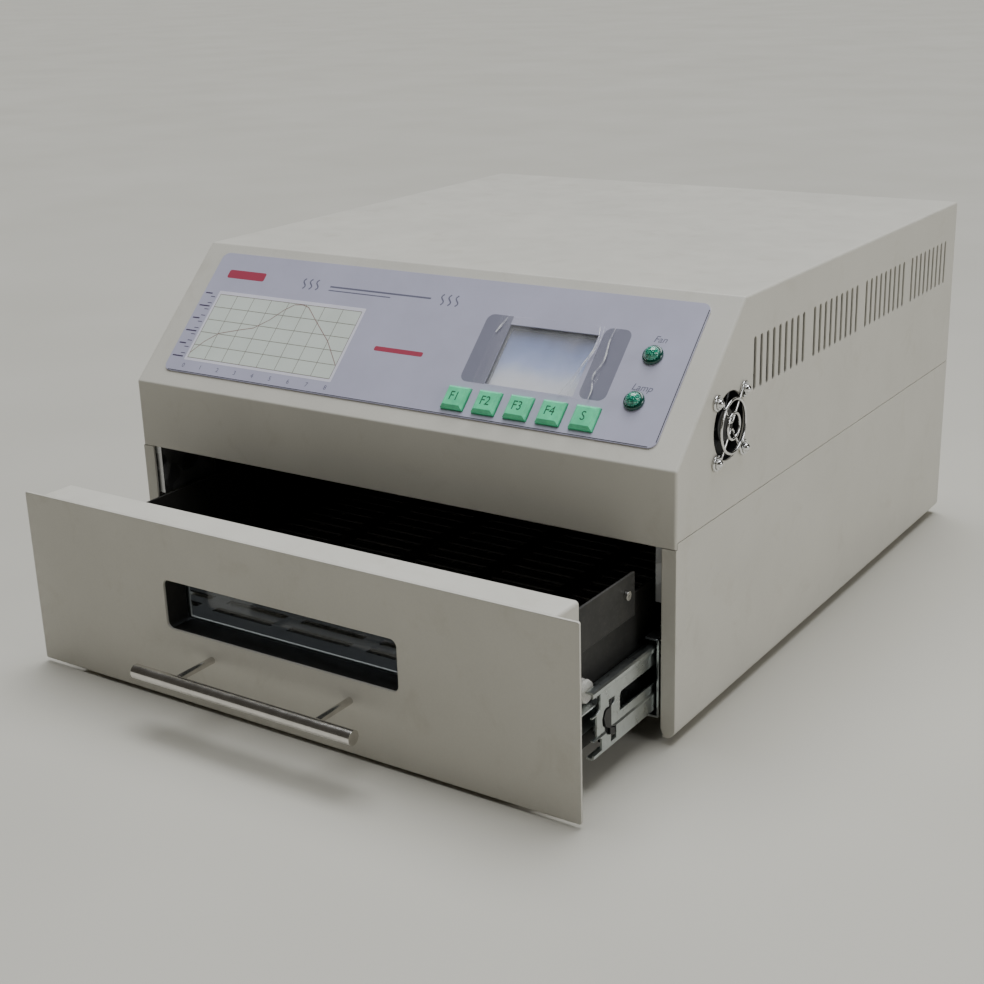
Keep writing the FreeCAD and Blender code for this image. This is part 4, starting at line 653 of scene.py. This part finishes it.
def lamps():
    """Dark rims, and domed lenses with a prism pattern inside, whose cells are painted pale in the middle and
    dark at their edges as glint and shade.
    """
    rim = moulded("lamp_rim_plastic", srgb(8, 74, 62), (0.08, 0.16), 0.8, 0.01, Coat_Weight=0.8,
                  Coat_Roughness=0.05)
    r = Recipe("lamp_lens_plastic", Coat_Weight=1.0, Coat_Roughness=0.03, Subsurface_Weight=0.2,
               Subsurface_Radius=(0.001, 0.003, 0.002))
    prism = r.cells(0.95, "F1", random=0.25)
    # Painted glint and shade: each prism cell runs from pale teal at its centre to dark green at its edges.
    tone = r.ramp(prism, (0.1, srgb(190, 250, 228)), (0.38, srgb(48, 190, 152)), (0.62, srgb(8, 104, 84)))
    r.bump(prism, 0.22, 0.8)
    lens = r.paint(tone, r.span(r.noise(2, 2), 0.08, 0.18))
    bm = bmesh.new()
    for t in (35.4, 63.4):
        here = panel_spot(148.4, t, 0.8)
        lathe(bm, here, [(5.8, 0), (5.8, 0.9), (5.5, 1.5), (4.9, 1.9), (4.35, 1.95), (4.2, 1.2)], look=0)
        angles = [math.pi / 2 * i / 9 for i in range(9)]
        dome = [(4.25 * math.cos(a), 1.5 + 3.9 * math.sin(a)) for a in angles]
        lathe(bm, here, [(4.25, 1.1)] + dome + [(0.35, 5.39)], look=1)
    made = piece("lamp_lenses", bm, [rim, lens], slot="green_lamp", smooth=True)
    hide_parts("indicator_lamps")


def tube(bm, path, radius, sides=10, closed=False, look=0):
    """A round wire along a path of points, in metres."""
    total = len(path)
    rows = []
    side = None
    for i, spot in enumerate(path):
        before = path[(i - 1) % total] if closed or i else spot
        after = path[(i + 1) % total] if closed or i < total - 1 else spot
        way = (after - before).normalized()
        if side is None:
            side = way.orthogonal().normalized()
        side = (side - way * side.dot(way)).normalized()
        up = way.cross(side)
        rows.append([bm.verts.new(spot + radius * (side * math.cos(a) + up * math.sin(a)))
                     for a in (2 * math.pi * k / sides for k in range(sides))])
    pairs = list(zip(rows, rows[1:])) + ([(rows[-1], rows[0])] if closed else [])
    for a, b in pairs:
        shift = 0
        if closed and b is rows[0]:
            shift = min(range(sides), key=lambda n: (a[0].co - b[n].co).length)
        for k in range(sides):
            j = (k + 1) % sides
            bm.faces.new((a[k], a[j], b[(j + shift) % sides], b[(k + shift) % sides])).material_index = look
    if not closed:
        bm.faces.new(rows[0]).material_index = look
        bm.faces.new(rows[-1]).material_index = look


def side_guard():
    """Chromed guard: two rings welded over two bent wires that hook round the screws."""
    centre = Vector((HALF, FASCIA_Y + 58.5 * MM, 159.6 * MM))

    def spot(y, z, out):
        return centre + Vector((out, y, z)) * MM

    bm = bmesh.new()
    for radius in (7, 14.5):
        circle = [spot(radius * math.cos(a), radius * math.sin(a), 2.38)
                  for a in (2 * math.pi * i / 48 for i in range(48))]
        tube(bm, circle, 0.8 * MM, closed=True)
    for up in (1, -1):
        path = []
        for side in (-1, 1):
            cy, cz = 16 * side, 16 * up
            start = math.atan2(-cz * 0.86, -cy)
            turn = 1 if side * up > 0 else -1
            loop = [(cy + 3.7 * math.cos(start + turn * a), cz + 3.7 * math.sin(start + turn * a))
                    for a in (math.pi * 2 * i / 16 for i in range(1, 15))]
            path.append(loop if side < 0 else loop[::-1])
        tip = [(2.1 * math.cos(a), up * (3.9 - 2.1 * math.sin(a)))
               for a in (math.radians(180 - 30 - 12 * i) for i in range(1, 10))]
        whole = path[0] + tip + path[1]
        tube(bm, [spot(y, z, 0.9) for y, z in whole], 0.8 * MM)
    made = piece("side_guard_wires", bm, [M["chrome"]], slot="chrome", smooth=True)
    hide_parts("side_fan_guard")


label_print()
key_legends()
display_face()
display_wrap()
lamps()
side_guard()


# ---------------------------------------------------------------- stage, light and camera

def floor():
    bm = bmesh.new()
    bmesh.ops.create_grid(bm, x_segments=2, y_segments=2, size=60)
    mesh = bpy.data.meshes.new("floor")
    bm.to_mesh(mesh)
    bm.free()
    piece = bpy.data.objects.new("floor", mesh)
    bpy.context.scene.collection.objects.link(piece)
    r = Recipe("pale_floor")
    tone = r.ramp(r.noise(400, 3), (0.3, srgb(193, 190, 180)), (0.7, srgb(199, 196, 186)))
    mesh.materials.append(r.paint(tone, r.span(r.noise(200, 3), 0.5, 0.62)))


def softbox(name, place, aim, width, height, power, color=(1, 1, 1)):
    data = bpy.data.lights.new(name, "AREA")
    data.shape = "RECTANGLE"
    data.size, data.size_y = width, height
    data.energy = power
    data.color = color
    lamp = bpy.data.objects.new(name, data)
    lamp.location = place
    lamp.rotation_euler = (Vector(aim) - Vector(place)).to_track_quat("-Z", "Y").to_euler()
    bpy.context.scene.collection.objects.link(lamp)


def sun(name, towards, strength, spread, color):
    """An even, very soft light that shines the given way."""
    data = bpy.data.lights.new(name, "SUN")
    data.energy = strength
    data.angle = math.radians(spread)
    data.color = color
    lamp = bpy.data.objects.new(name, data)
    lamp.rotation_euler = Vector(towards).to_track_quat("-Z", "Y").to_euler()
    bpy.context.scene.collection.objects.link(lamp)


def light():
    """A broad overhead light from slightly behind, one from the right, and a warm weak room."""
    sun("overhead", (0.08, -0.22, -1), 3.5, 50, (0.95, 0.975, 1.0))
    softbox("side_fill", (1.7, -0.12, 0.8), (0.18, -0.05, 0.1), 0.7, 0.7, 7, (0.98, 0.99, 1.0))
    world = bpy.data.worlds.new("room")
    world.use_nodes = True
    world.node_tree.nodes["Background"].inputs["Color"].default_value = (1.0, 0.93, 0.8, 1)
    world.node_tree.nodes["Background"].inputs["Strength"].default_value = 0.06
    bpy.context.scene.world = world


def camera():
    """The eye stands to the front right, a little above the oven."""
    eye = Vector((0.5224, FASCIA_Y - 0.6559, 0.3991))
    aim = Vector((-0.0603, FASCIA_Y + 0.2000, 0.0380))
    data = bpy.data.cameras.new("camera")
    data.lens = 57.59
    data.sensor_width = 36
    data.clip_start, data.clip_end = 0.02, 50
    eyepiece = bpy.data.objects.new("camera", data)
    bpy.context.scene.collection.objects.link(eyepiece)
    turn = (aim - eye).to_track_quat("-Z", "Y").to_matrix().to_4x4()
    eyepiece.matrix_world = Matrix.Translation(eye) @ turn @ Matrix.Rotation(math.radians(-1.76), 4, "Z")
    bpy.context.scene.camera = eyepiece


floor()
light()
camera()
